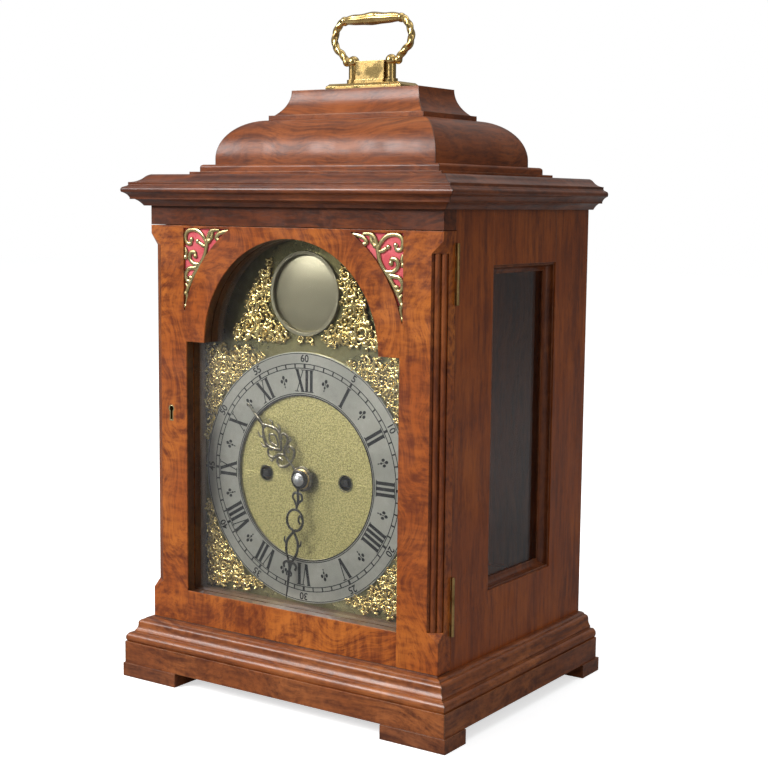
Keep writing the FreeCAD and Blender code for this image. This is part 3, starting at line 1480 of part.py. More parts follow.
def third_wheel():
    """Third arbor, pinion and wheel."""
    (x, z), escape, phase = going_layout()
    drive = pinion(third_pinion_teeth, centre_module, x, z, phase["third_pinion"],
                   centre_wheel_y - pinion_overhang, centre_wheel_y + wheel_thickness + pinion_overhang)
    big = wheel(third_teeth, third_module, x, z, phase["third"], third_wheel_y, wheel_thickness)
    return fuse(arbor(x, z, pinion_core(third_pinion_teeth, centre_module)) + [drive, big])


def escape_wheel():
    """Escape arbor, pinion and a wheel of pointed, undercut teeth."""
    third, (x, z), phase = going_layout()
    drive = pinion(escape_pinion_teeth, third_module, x, z, phase["escape_pinion"],
                   third_wheel_y - pinion_overhang, third_wheel_y + wheel_thickness + pinion_overhang)
    pitch = 360.0 / escape_teeth
    points = []
    for k in range(escape_teeth):
        a = 90.0 + k * pitch
        points.append(at(x, z, a, escape_radius))
        points.append(at(x, z, a + 0.30 * pitch, escape_radius - 2.4))
        points.append(at(x, z, a + 0.72 * pitch, escape_radius - 2.4))
    disc = plate_xz(points, escape_wheel_y, escape_wheel_y + wheel_thickness)
    hub = arbor_radius + 2.0
    window = rod_y(x, z, escape_wheel_y - 1, escape_wheel_y + wheel_thickness + 1, escape_radius - 4.4)
    window = window.cut(rod_y(x, z, escape_wheel_y - 2, escape_wheel_y + wheel_thickness + 2, hub))
    for degrees in (0.0, 90.0):
        bar = box(x - BIG / 2, x + BIG / 2, escape_wheel_y - 2, escape_wheel_y + wheel_thickness + 2,
                  z - spoke_half, z + spoke_half)
        window = window.cut(turn_about_y(bar, x, z, degrees))
    return fuse(arbor(x, z, pinion_core(escape_pinion_teeth, third_module)) + [drive, disc.cut(window)])


def pallet_centre():
    """Height of the pallet arbor."""
    third, (x, z), phase = going_layout()
    return z + pallet_above_escape


def pallets():
    """Anchor on its arbor, and the crutch behind the back plate."""
    z = pallet_centre()
    third, (x, ez), phase = going_layout()
    y0 = escape_wheel_y - (pallet_thickness - wheel_thickness) / 2
    y1 = y0 + pallet_thickness
    reach = escape_radius + pallet_gap
    span = math.radians(pallet_span)
    tip_x, tip_z = reach * math.sin(span), ez + reach * math.cos(span)
    arm = [(0, z + 2.4), (tip_x - 1.0, z - 1.6), (tip_x + 2.4, z - 5.0), (tip_x + 2.0, tip_z - 0.6),
           (tip_x - 0.1, tip_z + 0.2), (tip_x - 0.8, z - 5.6), (tip_x - 3.4, z - 4.4), (0, z - 2.4)]
    right = plate_xz(arm, y0, y1)
    body = rod_y(0, z, front_plate_y + plate_thickness + pivot_shoulder, back_plate_y - pivot_shoulder, arbor_radius)
    pivot = rod_y(0, z, front_plate_y, crutch_y, pivot_radius * 1.6)
    crutch = box(-crutch_width / 2, crutch_width / 2, crutch_y, crutch_y + crutch_thickness, z - crutch_length, z + 2.0)
    pin = rod_y(0, z - crutch_length + crutch_pin_in, crutch_y, pendulum_y + pendulum_rod_radius + 1.0, crutch_pin_radius)
    return fuse([right, mirror_x(right), body, pivot, crutch, pin])


def pendulum_rod():
    """Suspension strip, rod with a slot for the crutch pin, and the threaded end."""
    z = pallet_centre()
    chop_top = z - suspension_length
    thick = pendulum_rod_radius + chop_wall
    strip = box(-suspension_half, suspension_half, pendulum_y - suspension_thickness / 2,
                pendulum_y + suspension_thickness / 2, chop_top - chop_wall, z + crutch_pin_in)
    chop = box(-chop_half, chop_half, pendulum_y - thick, pendulum_y + thick, chop_top - chop_height, chop_top)
    bottom = bob_centre_z - bob_radius - rod_below_bob
    shaft = rod(V(0, pendulum_y, bottom), Z_AXIS, pendulum_rod_radius, chop_top - chop_wall - bottom)
    slot_z = z - crutch_length + crutch_pin_in
    slot_half = crutch_pin_radius + crutch_pin_play
    block = box(-slot_half - block_wall, slot_half + block_wall, pendulum_y - thick, pendulum_y + thick,
                slot_z - block_half, slot_z + block_half)
    slot = box(-slot_half, slot_half, pendulum_y - BIG / 2, pendulum_y + BIG / 2,
               slot_z - block_half + block_wall / 2, slot_z + block_half - block_wall / 2)
    return fuse([strip, chop, shaft, block]).cut(slot)


def pendulum_bob():
    """Lens-shaped bob on the rod, and the rating nut under it."""
    half = bob_thickness / 2
    sphere_radius = (bob_radius ** 2 + half ** 2) / (2 * half)
    front = Part.makeSphere(sphere_radius, V(0, pendulum_y - half + sphere_radius, bob_centre_z))
    back = Part.makeSphere(sphere_radius, V(0, pendulum_y + half - sphere_radius, bob_centre_z))
    rod_hole = rod(V(0, pendulum_y, bob_centre_z - BIG / 4), Z_AXIS, pendulum_rod_radius, BIG / 2)
    bob = front.common(back).cut(rod_hole)
    nut_z = bob_centre_z - bob_radius - rating_nut_height - 0.5
    nut = rod(V(0, pendulum_y, nut_z), Z_AXIS, rating_nut_radius, rating_nut_height + 0.9).cut(rod_hole)
    return [bob, nut.cut(front.common(back))]


def pin_wheel():
    """Pin wheel arbor, pinion, wheel and its lifting pins."""
    (x, z), gather, fly, phase = strike_layout()
    drive = pinion(pin_pinion_teeth, great_module, x, z, phase["pin_pinion"],
                   strike_great_y - pinion_overhang, strike_great_y + wheel_thickness + pinion_overhang)
    big = wheel(pin_teeth, strike_module, x, z, phase["pin"], pin_wheel_y, wheel_thickness)
    pins = []
    for k in range(8):
        px, pz = at(x, z, 45.0 * k + 20.0, pin_circle_radius)
        pins.append(rod_y(px, pz, pin_wheel_y - 3.0, pin_wheel_y + wheel_thickness, 0.6))
    return fuse(arbor(x, z, pinion_core(pin_pinion_teeth, great_module)) + [drive, big] + pins)


def gathering_wheel():
    """Gathering arbor, pinion and wheel."""
    pin, (x, z), fly, phase = strike_layout()
    drive = pinion(gather_pinion_teeth, strike_module, x, z, phase["gather_pinion"],
                   pin_wheel_y - pinion_overhang, pin_wheel_y + wheel_thickness + pinion_overhang)
    big = wheel(gather_teeth, strike_module, x, z, phase["gather"], gather_wheel_y, wheel_thickness)
    return fuse(arbor(x, z, pinion_core(gather_pinion_teeth, strike_module)) + [drive, big])


def fly_fan():
    """Fly arbor, pinion and fan."""
    pin, gather, (x, z), phase = strike_layout()
    drive = pinion(fly_pinion_teeth, strike_module, x, z, phase["fly_pinion"],
                   gather_wheel_y - pinion_overhang, gather_wheel_y + wheel_thickness + pinion_overhang)
    fan = box(x - fly_radius, x + fly_radius, fly_y0, fly_y1, z - fly_thickness / 2, z + fly_thickness / 2)
    return fuse(arbor(x, z, pinion_core(fly_pinion_teeth, strike_module)) + [drive, fan])


def minute_wheel():
    """Minute wheel and pinion on the stud under the centre."""
    (x, z), phase = motion_layout()
    big = plate_xz(gear_points(minute_wheel_teeth, cannon_module, x, z, phase["minute"]),
                   minute_wheel_y, minute_wheel_y + motion_thickness)
    small = pinion(minute_pinion_teeth, hour_module(), x, z, phase["minute_pinion"], hour_wheel_y - 0.6, minute_wheel_y)
    return fuse([big, small]).cut(rod_y(x, z, -BIG / 2, BIG / 2, stud_radius + running_clearance))


def hour_module():
    """Module that gives the second pair the same centre distance as the first."""
    return cannon_module * (cannon_teeth + minute_wheel_teeth) / (minute_pinion_teeth + hour_teeth)


def hour_wheel():
    """Hour wheel and the pipe that carries the hour hand."""
    stud, phase = motion_layout()
    c = dial_centre_z
    big = plate_xz(gear_points(hour_teeth, hour_module(), 0, c, phase["hour"]), hour_wheel_y, hour_wheel_y + motion_thickness)
    pipe = rod_y(0, c, hour_hand_y - hand_thickness, hour_wheel_y + motion_thickness, hour_pipe_outer())
    return fuse([big, pipe]).cut(rod_y(0, c, -BIG / 2, BIG / 2, hour_pipe_inner()))


# ------------------------------------------------------------------ movement frame
def pivot_places():
    """Every arbor: x, z and radius of its hole in the front and the back plate."""
    third, escape, phase = going_layout()
    pin, gather, fly, strike = strike_layout()
    fit = running_clearance
    small = pivot_radius + fit
    places = [(x, z, small, small) for x, z in (third, escape, pin, gather, fly)]
    core = pinion_core(centre_pinion_teeth, great_module)
    places.append((0.0, dial_centre_z, core + fit, small))
    places.append((0.0, pallet_centre(), pivot_radius * 1.6 + fit, pivot_radius * 1.6 + fit))
    places += [(x, dial_centre_z, barrel_arbor_radius + fit, barrel_arbor_radius + fit) for x in (-winding_x, winding_x)]
    places.append((hammer_x, hammer_z, small, small))
    return places


def movement_frame():
    """Front plate with the minute wheel stud, back plate, and four turned pillars with nuts."""
    half = plate_width / 2
    front = box(-half, half, front_plate_y, front_plate_y + plate_thickness, plate_bottom_z, plate_top_z)
    back = box(-half, half, back_plate_y, back_plate_rear, plate_bottom_z, plate_top_z)
    stud, phase = motion_layout()
    front = fuse([front, rod_y(stud[0], stud[1], hour_wheel_y - 1.6, front_plate_y, stud_radius)])
    for x, z, front_hole, back_hole in pivot_places():
        front = front.cut(rod_y(x, z, front_plate_y - 1, front_plate_y + plate_thickness + 1, front_hole))
        back = back.cut(rod_y(x, z, back_plate_y - 1, back_plate_rear + 1, back_hole))
    pieces = [front, back]
    for x in (-pillar_x, pillar_x):
        for z in (plate_bottom_z + pillar_in, plate_top_z - pillar_in):
            y0, y1 = front_plate_y + plate_thickness, back_plate_y
            middle = (y0 + y1) / 2
            ends = [rod_y(x, z, y0, y0 + 7, pillar_radius), rod_y(x, z, y1 - 7, y1, pillar_radius)]
            knop = rod_y(x, z, middle - 3, middle + 3, pillar_radius)
            pieces.append(fuse(ends + [knop, rod_y(x, z, y0, y1, pillar_waist_radius)]))
            pieces.append(rod_y(x, z, front_plate_y - 1.6, front_plate_y, pillar_waist_radius))
            pieces.append(rod_y(x, z, back_plate_rear, back_plate_rear + 1.6, pillar_waist_radius))
    return pieces


def back_cock():
    """Bridge behind the back plate that carries the pallet arbor's end and the suspension."""
    z = pallet_centre()
    w, t = cock_half_width, cock_bar
    y0, y1 = back_plate_rear, pendulum_y + t
    cheeks = [box(-w, -w + t, y0, y1, z + 2.6, z + 2.6 + cock_height), box(w - t, w, y0, y1, z + 2.6, z + 2.6 + cock_height)]
    bar = box(-w, w, pendulum_y - t, y1, z + 2.6, z + 2.6 + cock_height)
    feet_plates = [box(-w - 5, -w + t, y0, y0 + 2, z + 2.6, z + 2.6 + cock_height),
                   box(w - t, w + 5, y0, y0 + 2, z + 2.6, z + 2.6 + cock_height)]
    screws = [rod_y(side * (w + 2.4), z + 2.6 + cock_height / 2, y0 + 2, y0 + 3.4, 1.9) for side in (-1, 1)]
    return [fuse(cheeks + [bar] + feet_plates)] + screws


def seat_board():
    """Board under the movement, on a bearer at each side."""
    seat = box(-inside_half, inside_half, seat_front_y, seat_back_y, plate_bottom_z - seat_thickness, plate_bottom_z)
    z1 = plate_bottom_z - seat_thickness
    bearer = box(inside_half - bearer_width, inside_half, seat_front_y, seat_back_y, z1 - bearer_height, z1)
    return [seat] + both_sides(bearer)


def clicks():
    """A click on a screw above each ratchet, with its spring."""
    pieces = []
    y0 = ratchet_y()
    for x in (-winding_x, winding_x):
        tip = at(x, dial_centre_z, 90.0, ratchet_radius + 0.4)
        px, pz = at(x, dial_centre_z, 62.0, ratchet_radius + 3.4)
        body = plate_xz([tip, (px - 1.0, pz + 2.2), (px + 2.2, pz + 1.4), (px + 2.2, pz - 1.4), (px, pz - 1.6)],
                        y0, front_plate_y)
        pieces.append(body)
        pieces.append(rod_y(px + 0.4, pz + 0.2, y0 - 1.0, y0, 1.6))
    return pieces


# ------------------------------------------------------------------ bell and hammer
def gong():
    """The bell: a thin bowl, mouth down."""
    z0 = gong_mouth_z

    def dome(radius, height, low):
        lip, rise = radius * gong_lip_share, height * gong_skirt_share
        centre = (height ** 2 - rise ** 2 - lip ** 2) / (2 * (height - rise))
        middle_angle = (math.atan2(rise - centre, lip) + math.pi / 2) / 2
        middle = ((height - centre) * math.cos(middle_angle), z0 + centre + (height - centre) * math.sin(middle_angle))
        steps = [(0, low), (radius, low), (lip, z0 + rise), (middle, (0, z0 + height))]
        face = Part.Face(path_wire(steps, lambda x, z: V(x, gong_y, z)))
        return face.revolve(V(0, gong_y, 0), Z_AXIS, 360)

    shell = dome(gong_radius, gong_height, z0).cut(dome(gong_radius - gong_wall, gong_height - gong_wall, z0 - 1))
    return shell.cut(rod(V(0, gong_y, z0), Z_AXIS, gong_post_radius, 2 * gong_height))


def bell_stand():
    """Steel bracket from the back plate over the bell, with the bell's post and nut."""
    x0, x1 = stand_x - stand_half, stand_x + stand_half
    top = gong_mouth_z + gong_height + 4.0
    t = stand_thickness
    upright = box(x0, x1, back_plate_rear, back_plate_rear + t, stand_foot_z, top + t)
    arm = box(x0, x1, gong_y - stand_half, back_plate_rear + t, top, top + t)
    cross = box(-stand_half, x1, gong_y - stand_half, gong_y + stand_half, top, top + t)
    post_bottom = gong_mouth_z + gong_height - 8.0
    post = rod(V(0, gong_y, post_bottom), Z_AXIS, gong_post_radius, top - post_bottom)
    above = rod(V(0, gong_y, gong_mouth_z + gong_height), Z_AXIS, gong_post_radius * 2, 4.0)
    below = rod(V(0, gong_y, post_bottom), Z_AXIS, gong_post_radius * 2, 4.0)
    screws = [rod_y(stand_x, z, back_plate_rear + t, back_plate_rear + t + 1.6, 2.4)
              for z in (stand_foot_z + 6.0, stand_foot_z + 24.0)]
    return [fuse([upright, arm, cross, post, above, below])] + screws


def hammer():
    """Hammer on its arbor, just clear of the bell, with its lifting tail."""
    rim_x = -gong_radius - hammer_gap
    head_z = gong_mouth_z + hammer_head_radius
    head = rod(V(rim_x - hammer_head_length, gong_y, head_z), X_AXIS, hammer_head_radius, hammer_head_length)
    y0, y1 = gong_y - hammer_arm, gong_y + hammer_arm
    arm = [(hammer_x - 1.2, hammer_z), (hammer_x - 6.4, hammer_z + 20.0), (hammer_x - 3.6, hammer_z + 38.0),
           (rim_x - hammer_head_length + 2.0, head_z - 1.0), (rim_x - hammer_head_length + 3.0, head_z + 2.0),
           (rim_x - hammer_head_length + 0.2, head_z + 3.0), (hammer_x - 6.0, hammer_z + 40.0),
           (hammer_x - 9.0, hammer_z + 20.0), (hammer_x - 4.0, hammer_z)]
    arm = plate_xz(arm, y0, y1)
    hub = rod_y(hammer_x, hammer_z, y0 - 1, y1 + 1, 4.0)
    tail_y = pin_wheel_y - 4.2
    tail = plate_xz([(hammer_x + 1.0, hammer_z - 1.4), (hammer_x + 1.6, hammer_z + 1.2),
                     (hammer_x + 4.8, hammer_z - 4.0), (hammer_x + 3.0, hammer_z - 5.4)], tail_y, tail_y + 1.2)
    return fuse(arbor(hammer_x, hammer_z, arbor_radius) + [head, arm, hub, tail])


# ------------------------------------------------------------------ export
def main():
    """Builds and writes every node."""
    export("feet", feet())
    export("plinth", plinth())
    export("base_moulding", base_moulding())
    export("base_board", base_board())
    export("case_rails", case_rails())
    export("right_side", right_side())
    export("left_side", left_side())
    export("window_mouldings", window_mouldings())
    export("side_glasses", side_glasses())
    export("top_board", top_board())
    export("cornice", cornice())
    export("bell_fillets", bell_fillets())
    export("bell_ovolo", bell_ovolo())
    export("bell_cap", bell_cap())
    export("handle_mount", handle_mount())
    export("handle_bail", handle_bail())
    export("front_door_frame", front_door_frame())
    export("front_door_glass", front_door_glass())
    export("corner_reeds", corner_reeds())
    export("corner_frets", both_sides(corner_fret()))
    export("fret_silk", both_sides(fret_silk()))
    export("keyhole_lining", keyhole_lining())
    export("door_lock", door_lock())
    export("lock_bolt", lock_bolt())
    export("front_door_hinges", front_door_hinges())
    export("case_hinges", case_hinges())
    export("back_door_frame", back_door_frame())
    export("back_door_panel", back_panel(0))
    export("back_door_hinges", back_door_hinges())
    export("back_catch", back_catch())
    export("dial_mask", dial_mask())
    export("dial_plate", dial_plate())
    export("chapter_ring", chapter_ring())
    export("arch_boss", arch_boss())
    export("spandrels", spandrels())
    export("hour_hand", hour_hand())
    export("hour_wheel", hour_wheel())
    export("minute_hand", minute_hand())
    export("centre_arbor", centre_arbor())
    export("minute_wheel", minute_wheel())
    export("movement_frame", movement_frame())
    export("back_cock", back_cock())
    export("seat_board", seat_board())
    export("clicks", clicks())
    export("going_barrel", going_barrel())
    export("strike_barrel", strike_barrel())
    export("going_winding_arbor", winding_arbor(winding_x))
    export("strike_winding_arbor", winding_arbor(-winding_x))
    export("third_wheel", third_wheel())
    export("escape_wheel", escape_wheel())
    export("pallets", pallets())
    export("pendulum_rod", pendulum_rod())
    export("pendulum_bob", pendulum_bob())
    export("pin_wheel", pin_wheel())
    export("gathering_wheel", gathering_wheel())
    export("fly", fly_fan())
    export("gong", gong())
    export("bell_stand", bell_stand())
    export("hammer", hammer())


main()
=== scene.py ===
"""Bracket clock: materials, dial furniture, cast and pierced work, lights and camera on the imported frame."""

import json
import math
import random

import bmesh
import bpy
from mathutils import Matrix, Vector


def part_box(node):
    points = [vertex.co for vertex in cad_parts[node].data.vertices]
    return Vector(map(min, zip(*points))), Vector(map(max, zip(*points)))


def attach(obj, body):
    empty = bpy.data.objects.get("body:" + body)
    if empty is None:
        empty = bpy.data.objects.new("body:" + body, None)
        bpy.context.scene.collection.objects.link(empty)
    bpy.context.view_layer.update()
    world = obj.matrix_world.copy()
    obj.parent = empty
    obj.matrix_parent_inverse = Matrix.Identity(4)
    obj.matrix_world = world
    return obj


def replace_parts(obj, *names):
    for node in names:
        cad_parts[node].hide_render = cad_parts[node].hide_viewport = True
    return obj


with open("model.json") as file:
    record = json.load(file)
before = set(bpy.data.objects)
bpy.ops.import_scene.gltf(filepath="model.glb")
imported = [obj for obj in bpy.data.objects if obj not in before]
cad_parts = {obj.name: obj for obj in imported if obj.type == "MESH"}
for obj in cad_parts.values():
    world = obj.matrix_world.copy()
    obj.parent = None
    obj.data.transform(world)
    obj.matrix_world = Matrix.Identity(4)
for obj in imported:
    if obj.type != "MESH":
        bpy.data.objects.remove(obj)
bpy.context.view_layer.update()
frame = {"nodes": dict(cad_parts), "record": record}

MM = 0.001


def corners(node):
    """Low and high corner of a packed sub-part."""
    low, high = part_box(node)
    return Vector(low), Vector(high)


# ---------------- places, from the frame
ring_low, ring_high = corners("chapter_ring")
boss_low, boss_high = corners("arch_boss")
bell_low, bell_high = corners("bell_fillets")
joints = {j["name"]: j for j in frame["record"]["behaviour"]["joints"]}

dial_centre = Vector((0, ring_low.y, (ring_low.z + ring_high.z) / 2))
ring_radius = (ring_high.z - ring_low.z) / 2
plate_front = ring_high.y
boss_centre = Vector((0, boss_low.y, (boss_low.z + boss_high.z) / 2))
boss_radius = (boss_high.z - boss_low.z) / 2

# The case's own sizes that no box gives: its half width, the glazed opening and the foot of its arch.
HALF_WIDTH = 120 * MM
DOOR_FRONT = corners("front_door_frame")[0].y
SIGHT_HALF = 88.4 * MM
SIGHT_BOTTOM = 66.3 * MM
SPRING_Z = 242.5 * MM


# ---------------- node helpers
class Nodes:
    """Short-hand for building a node tree."""

    def __init__(self, tree):
        self.tree = tree

    def add(self, kind, **settings):
        """Adds a node and sets its properties."""
        node = self.tree.nodes.new(kind)
        for key, value in settings.items():
            setattr(node, key, value)
        return node

    def feed(self, socket, value):
        """Links a socket or sets a constant."""
        if isinstance(value, bpy.types.NodeSocket):
            self.tree.links.new(value, socket)
        else:
            socket.default_value = value

    def math(self, operation, a, b=0.0, clamp=False):
        """Result of a Math node."""
        node = self.add("ShaderNodeMath", operation=operation, use_clamp=clamp)
        self.feed(node.inputs[0], a)
        self.feed(node.inputs[1], b)
        return node.outputs[0]

    def vector(self, operation, a, b=(0, 0, 0)):
        """Vector result of a Vector Math node."""
        node = self.add("ShaderNodeVectorMath", operation=operation)
        self.feed(node.inputs[0], a)
        self.feed(node.inputs[1], b)
        return node.outputs["Value"] if operation == "DOT_PRODUCT" else node.outputs[0]

    def mix(self, factor, a, b, blend="MIX"):
        """Colour result of a Mix node."""
        node = self.add("ShaderNodeMix", data_type="RGBA", blend_type=blend)
        self.feed(node.inputs[0], factor)
        self.feed(node.inputs[6], a)
        self.feed(node.inputs[7], b)
        return node.outputs[2]

    def between(self, value, low, high, to_low=0.0, to_high=1.0):
        """Value moved smoothly from one range to another."""
        node = self.add("ShaderNodeMapRange", interpolation_type="SMOOTHSTEP")
        for socket, number in zip(node.inputs, (value, low, high, to_low, to_high)):
            self.feed(socket, number)
        return node.outputs[0]

    def noise(self, vector, scale, detail=2.0, rough=0.5, warp=0.0):
        """Factor of a Noise texture."""
        node = self.add("ShaderNodeTexNoise")
        self.feed(node.inputs["Vector"], vector)
        for key, value in (("Scale", scale), ("Detail", detail), ("Roughness", rough), ("Distortion", warp)):
            self.feed(node.inputs[key], value)
        return node.outputs[0]

    def position(self):
        """Place on the object, in metres."""
        return self.add("ShaderNodeTexCoord").outputs["Object"]

    def split(self, vector):
        """The x, y and z of a vector."""
        node = self.add("ShaderNodeSeparateXYZ")
        self.feed(node.inputs[0], vector)
        return node.outputs

    def join(self, x, y, z):
        """A vector from x, y and z."""
        node = self.add("ShaderNodeCombineXYZ")
        for socket, value in zip(node.inputs, (x, y, z)):
            self.feed(socket, value)
        return node.outputs[0]

    def seen_or_not(self, seen, unseen, output):
        """Feeds an output one shader for camera rays and another for all other rays."""
        mixed = self.add("ShaderNodeMixShader")
        self.feed(mixed.inputs[0], self.add("ShaderNodeLightPath").outputs["Is Camera Ray"])
        self.feed(mixed.inputs[1], unseen.outputs[0])
        self.feed(mixed.inputs[2], seen.outputs[0])
        self.feed(output, mixed.outputs[0])

    def group(self, tree, **values):
        """Places a shared effect and feeds its inputs."""
        node = self.add("ShaderNodeGroup", node_tree=tree)
        for key, value in values.items():
            self.feed(node.inputs[key.replace("_", " ")], value)
        return node.outputs


def effect(name, inputs, outputs):
    """An empty shared effect: its helper, its input sockets and its output node."""
    tree = bpy.data.node_groups.new(name, "ShaderNodeTree")
    for label, kind, value in inputs:
        socket = tree.interface.new_socket(label, in_out="INPUT", socket_type="NodeSocket" + kind)
        if value is not None:
            socket.default_value = value
    for label, kind in outputs:
        tree.interface.new_socket(label, in_out="OUTPUT", socket_type="NodeSocket" + kind)
    entry = tree.nodes.new("NodeGroupInput")
    leave = tree.nodes.new("NodeGroupOutput")
    return tree, Nodes(tree), entry.outputs, leave.inputs


# ---------------- shared effects
def make_wood_grain():
    """Mahogany figure along the vector's first axis: streaks, cathedral bands, pores and ripple."""
    tree, n, given, out = effect(
        "wood_grain", [("Vector", "Vector", None), ("Swirl", "Float", 0.3), ("Ripple", "Float", 0.3)],
        [("Tone", "Float"), ("Pores", "Float"), ("Patches", "Float")])
    x, y, z = n.split(given["Vector"])
    drift = n.noise(given["Vector"], 9.0, 2.0)
    lean = n.math("MULTIPLY", n.math("SUBTRACT", drift, 0.5), given["Swirl"])
    y_bent = n.math("ADD", y, n.math("MULTIPLY", lean, 0.16))
    z_bent = n.math("ADD", z, n.math("MULTIPLY", lean, 0.10))
    along = n.join(n.math("MULTIPLY", x, 0.09), y_bent, z_bent)
    streak = n.noise(along, 260.0, 5.0, 0.70)
    bands = n.noise(n.join(n.math("MULTIPLY", x, 0.16), y_bent, z_bent), 60.0, 4.0, 0.60, 0.35)
    patches = n.noise(given["Vector"], 14.0, 3.0, 0.6)
    ripple = n.noise(n.join(x, n.math("MULTIPLY", y, 0.25), z), 230.0, 3.0, 0.6, 0.3)
    tone = n.math("ADD", n.math("MULTIPLY", streak, 0.62), n.math("MULTIPLY", bands, 0.38))
    ripple_part = n.math("MULTIPLY", n.math("SUBTRACT", ripple, 0.5), given["Ripple"])
    n.feed(out["Tone"], n.between(n.math("ADD", tone, ripple_part), 0.34, 0.66))
    pore = n.noise(n.join(n.math("MULTIPLY", x, 0.05), y_bent, z_bent), 1500.0, 1.0, 0.5)
    n.feed(out["Pores"], n.between(pore, 0.60, 0.72))
    n.feed(out["Patches"], n.between(patches, 0.36, 0.72))
    return tree


def make_run_axes():
    """Coordinates along a moulding that runs round mitred corners: along it, then across, then up."""
    tree, n, given, out = effect(
        "run_axes",
        [("Vector", "Vector", None), ("Half X", "Float", 0.12), ("Half Y", "Float", 0.09),
         ("Middle Y", "Float", 0.0)],
        [("Vector", "Vector"), ("Mitre", "Float")])
    x, y, z = n.split(given["Vector"])
    over_x = n.math("SUBTRACT", n.math("ABSOLUTE", x), given["Half X"])
    from_middle = n.math("ABSOLUTE", n.math("SUBTRACT", y, given["Middle Y"]))
    over_y = n.math("SUBTRACT", from_middle, given["Half Y"])
    side = n.math("GREATER_THAN", over_x, over_y)
    gap = n.math("ABSOLUTE", n.math("SUBTRACT", over_x, over_y))
    flip = n.math("SUBTRACT", 1.0, side)
    along = n.math("ADD", n.math("MULTIPLY", x, flip), n.math("MULTIPLY", y, side))
    across = n.math("ADD", n.math("MULTIPLY", y, flip), n.math("MULTIPLY", x, side))
    other_board = n.math("MULTIPLY", side, 0.37)
    n.feed(out["Vector"], n.join(along, across, n.math("ADD", z, other_board)))
    n.feed(out["Mitre"], n.between(gap, 0.0002, 0.0011, 1.0, 0.0))
    return tree


def make_edge_wear():
    """Rounded normal at sharp edges, and a broken mask of the rubbed edges."""
    tree, n, given, out = effect(
        "edge_wear", [("Width", "Float", 0.0006), ("Break", "Float", 60.0)],
        [("Worn", "Float"), ("Normal", "Vector")])
    bevel = n.add("ShaderNodeBevel", samples=6)
    n.feed(bevel.inputs["Radius"], given["Width"])
    shape = n.add("ShaderNodeNewGeometry")
    match = n.vector("DOT_PRODUCT", bevel.outputs[0], shape.outputs["Normal"])
    edge = n.between(match, 0.90, 0.995, 1.0, 0.0)
    patch = n.between(n.noise(n.position(), given["Break"], 3.0, 0.6), 0.38, 0.60)
    n.feed(out["Worn"], n.math("MULTIPLY", edge, patch))
    n.feed(out["Normal"], bevel.outputs[0])
    return tree


def make_handled_patches():
    """Broad patches where hands and cloths have dulled the surface."""
    tree, n, given, out = effect("handled_patches", [("Scale", "Float", 30.0)], [("Mask", "Float")])
    broad = n.noise(n.position(), given["Scale"], 4.0, 0.62)
    n.feed(out["Mask"], n.between(broad, 0.40, 0.68))
    return tree


WOOD_GRAIN = make_wood_grain()
RUN_AXES = make_run_axes()
EDGE_WEAR = make_edge_wear()
PATCHES = make_handled_patches()


# ---------------- materials
WORN_EDGE = 0.55 * MM
METAL_EDGE = 0.3 * MM
GRAIN_DEPTH = 0.3 * MM
METAL_DEPTH = 0.2 * MM
GLASS_WAVE = 1 * MM
# Depths behind the door's front over which the glazed opening's reveal takes painted shade, and the painted
# shade's dark brown.
REVEAL_FROM, REVEAL_TO = DOOR_FRONT + 0.4 * MM, DOOR_FRONT + 1.4 * MM
REVEAL_PAINTED_SHADE = (0.035, 0.022, 0.014, 1)
RUBBED_WOOD = (0.34, 0.17, 0.08, 1)
THREADS = 9000.0


def blank(name):
    """A new material with its node helper and its Principled shader."""
    material = bpy.data.materials.new(name)
    material.use_nodes = True
    shader = material.node_tree.nodes["Principled BSDF"]
    return material, Nodes(material.node_tree), shader


def bumped(n, shader, height, strength, distance, under=None):
    """Feeds the shader a bump of this height, over the rounded normal where one is given."""
    bump = n.add("ShaderNodeBump")
    bump.inputs["Strength"].default_value = strength
    bump.inputs["Distance"].default_value = distance
    n.feed(bump.inputs["Height"], height)
    if under:
        n.feed(bump.inputs["Normal"], under)
    n.feed(shader.inputs["Normal"], bump.outputs[0])


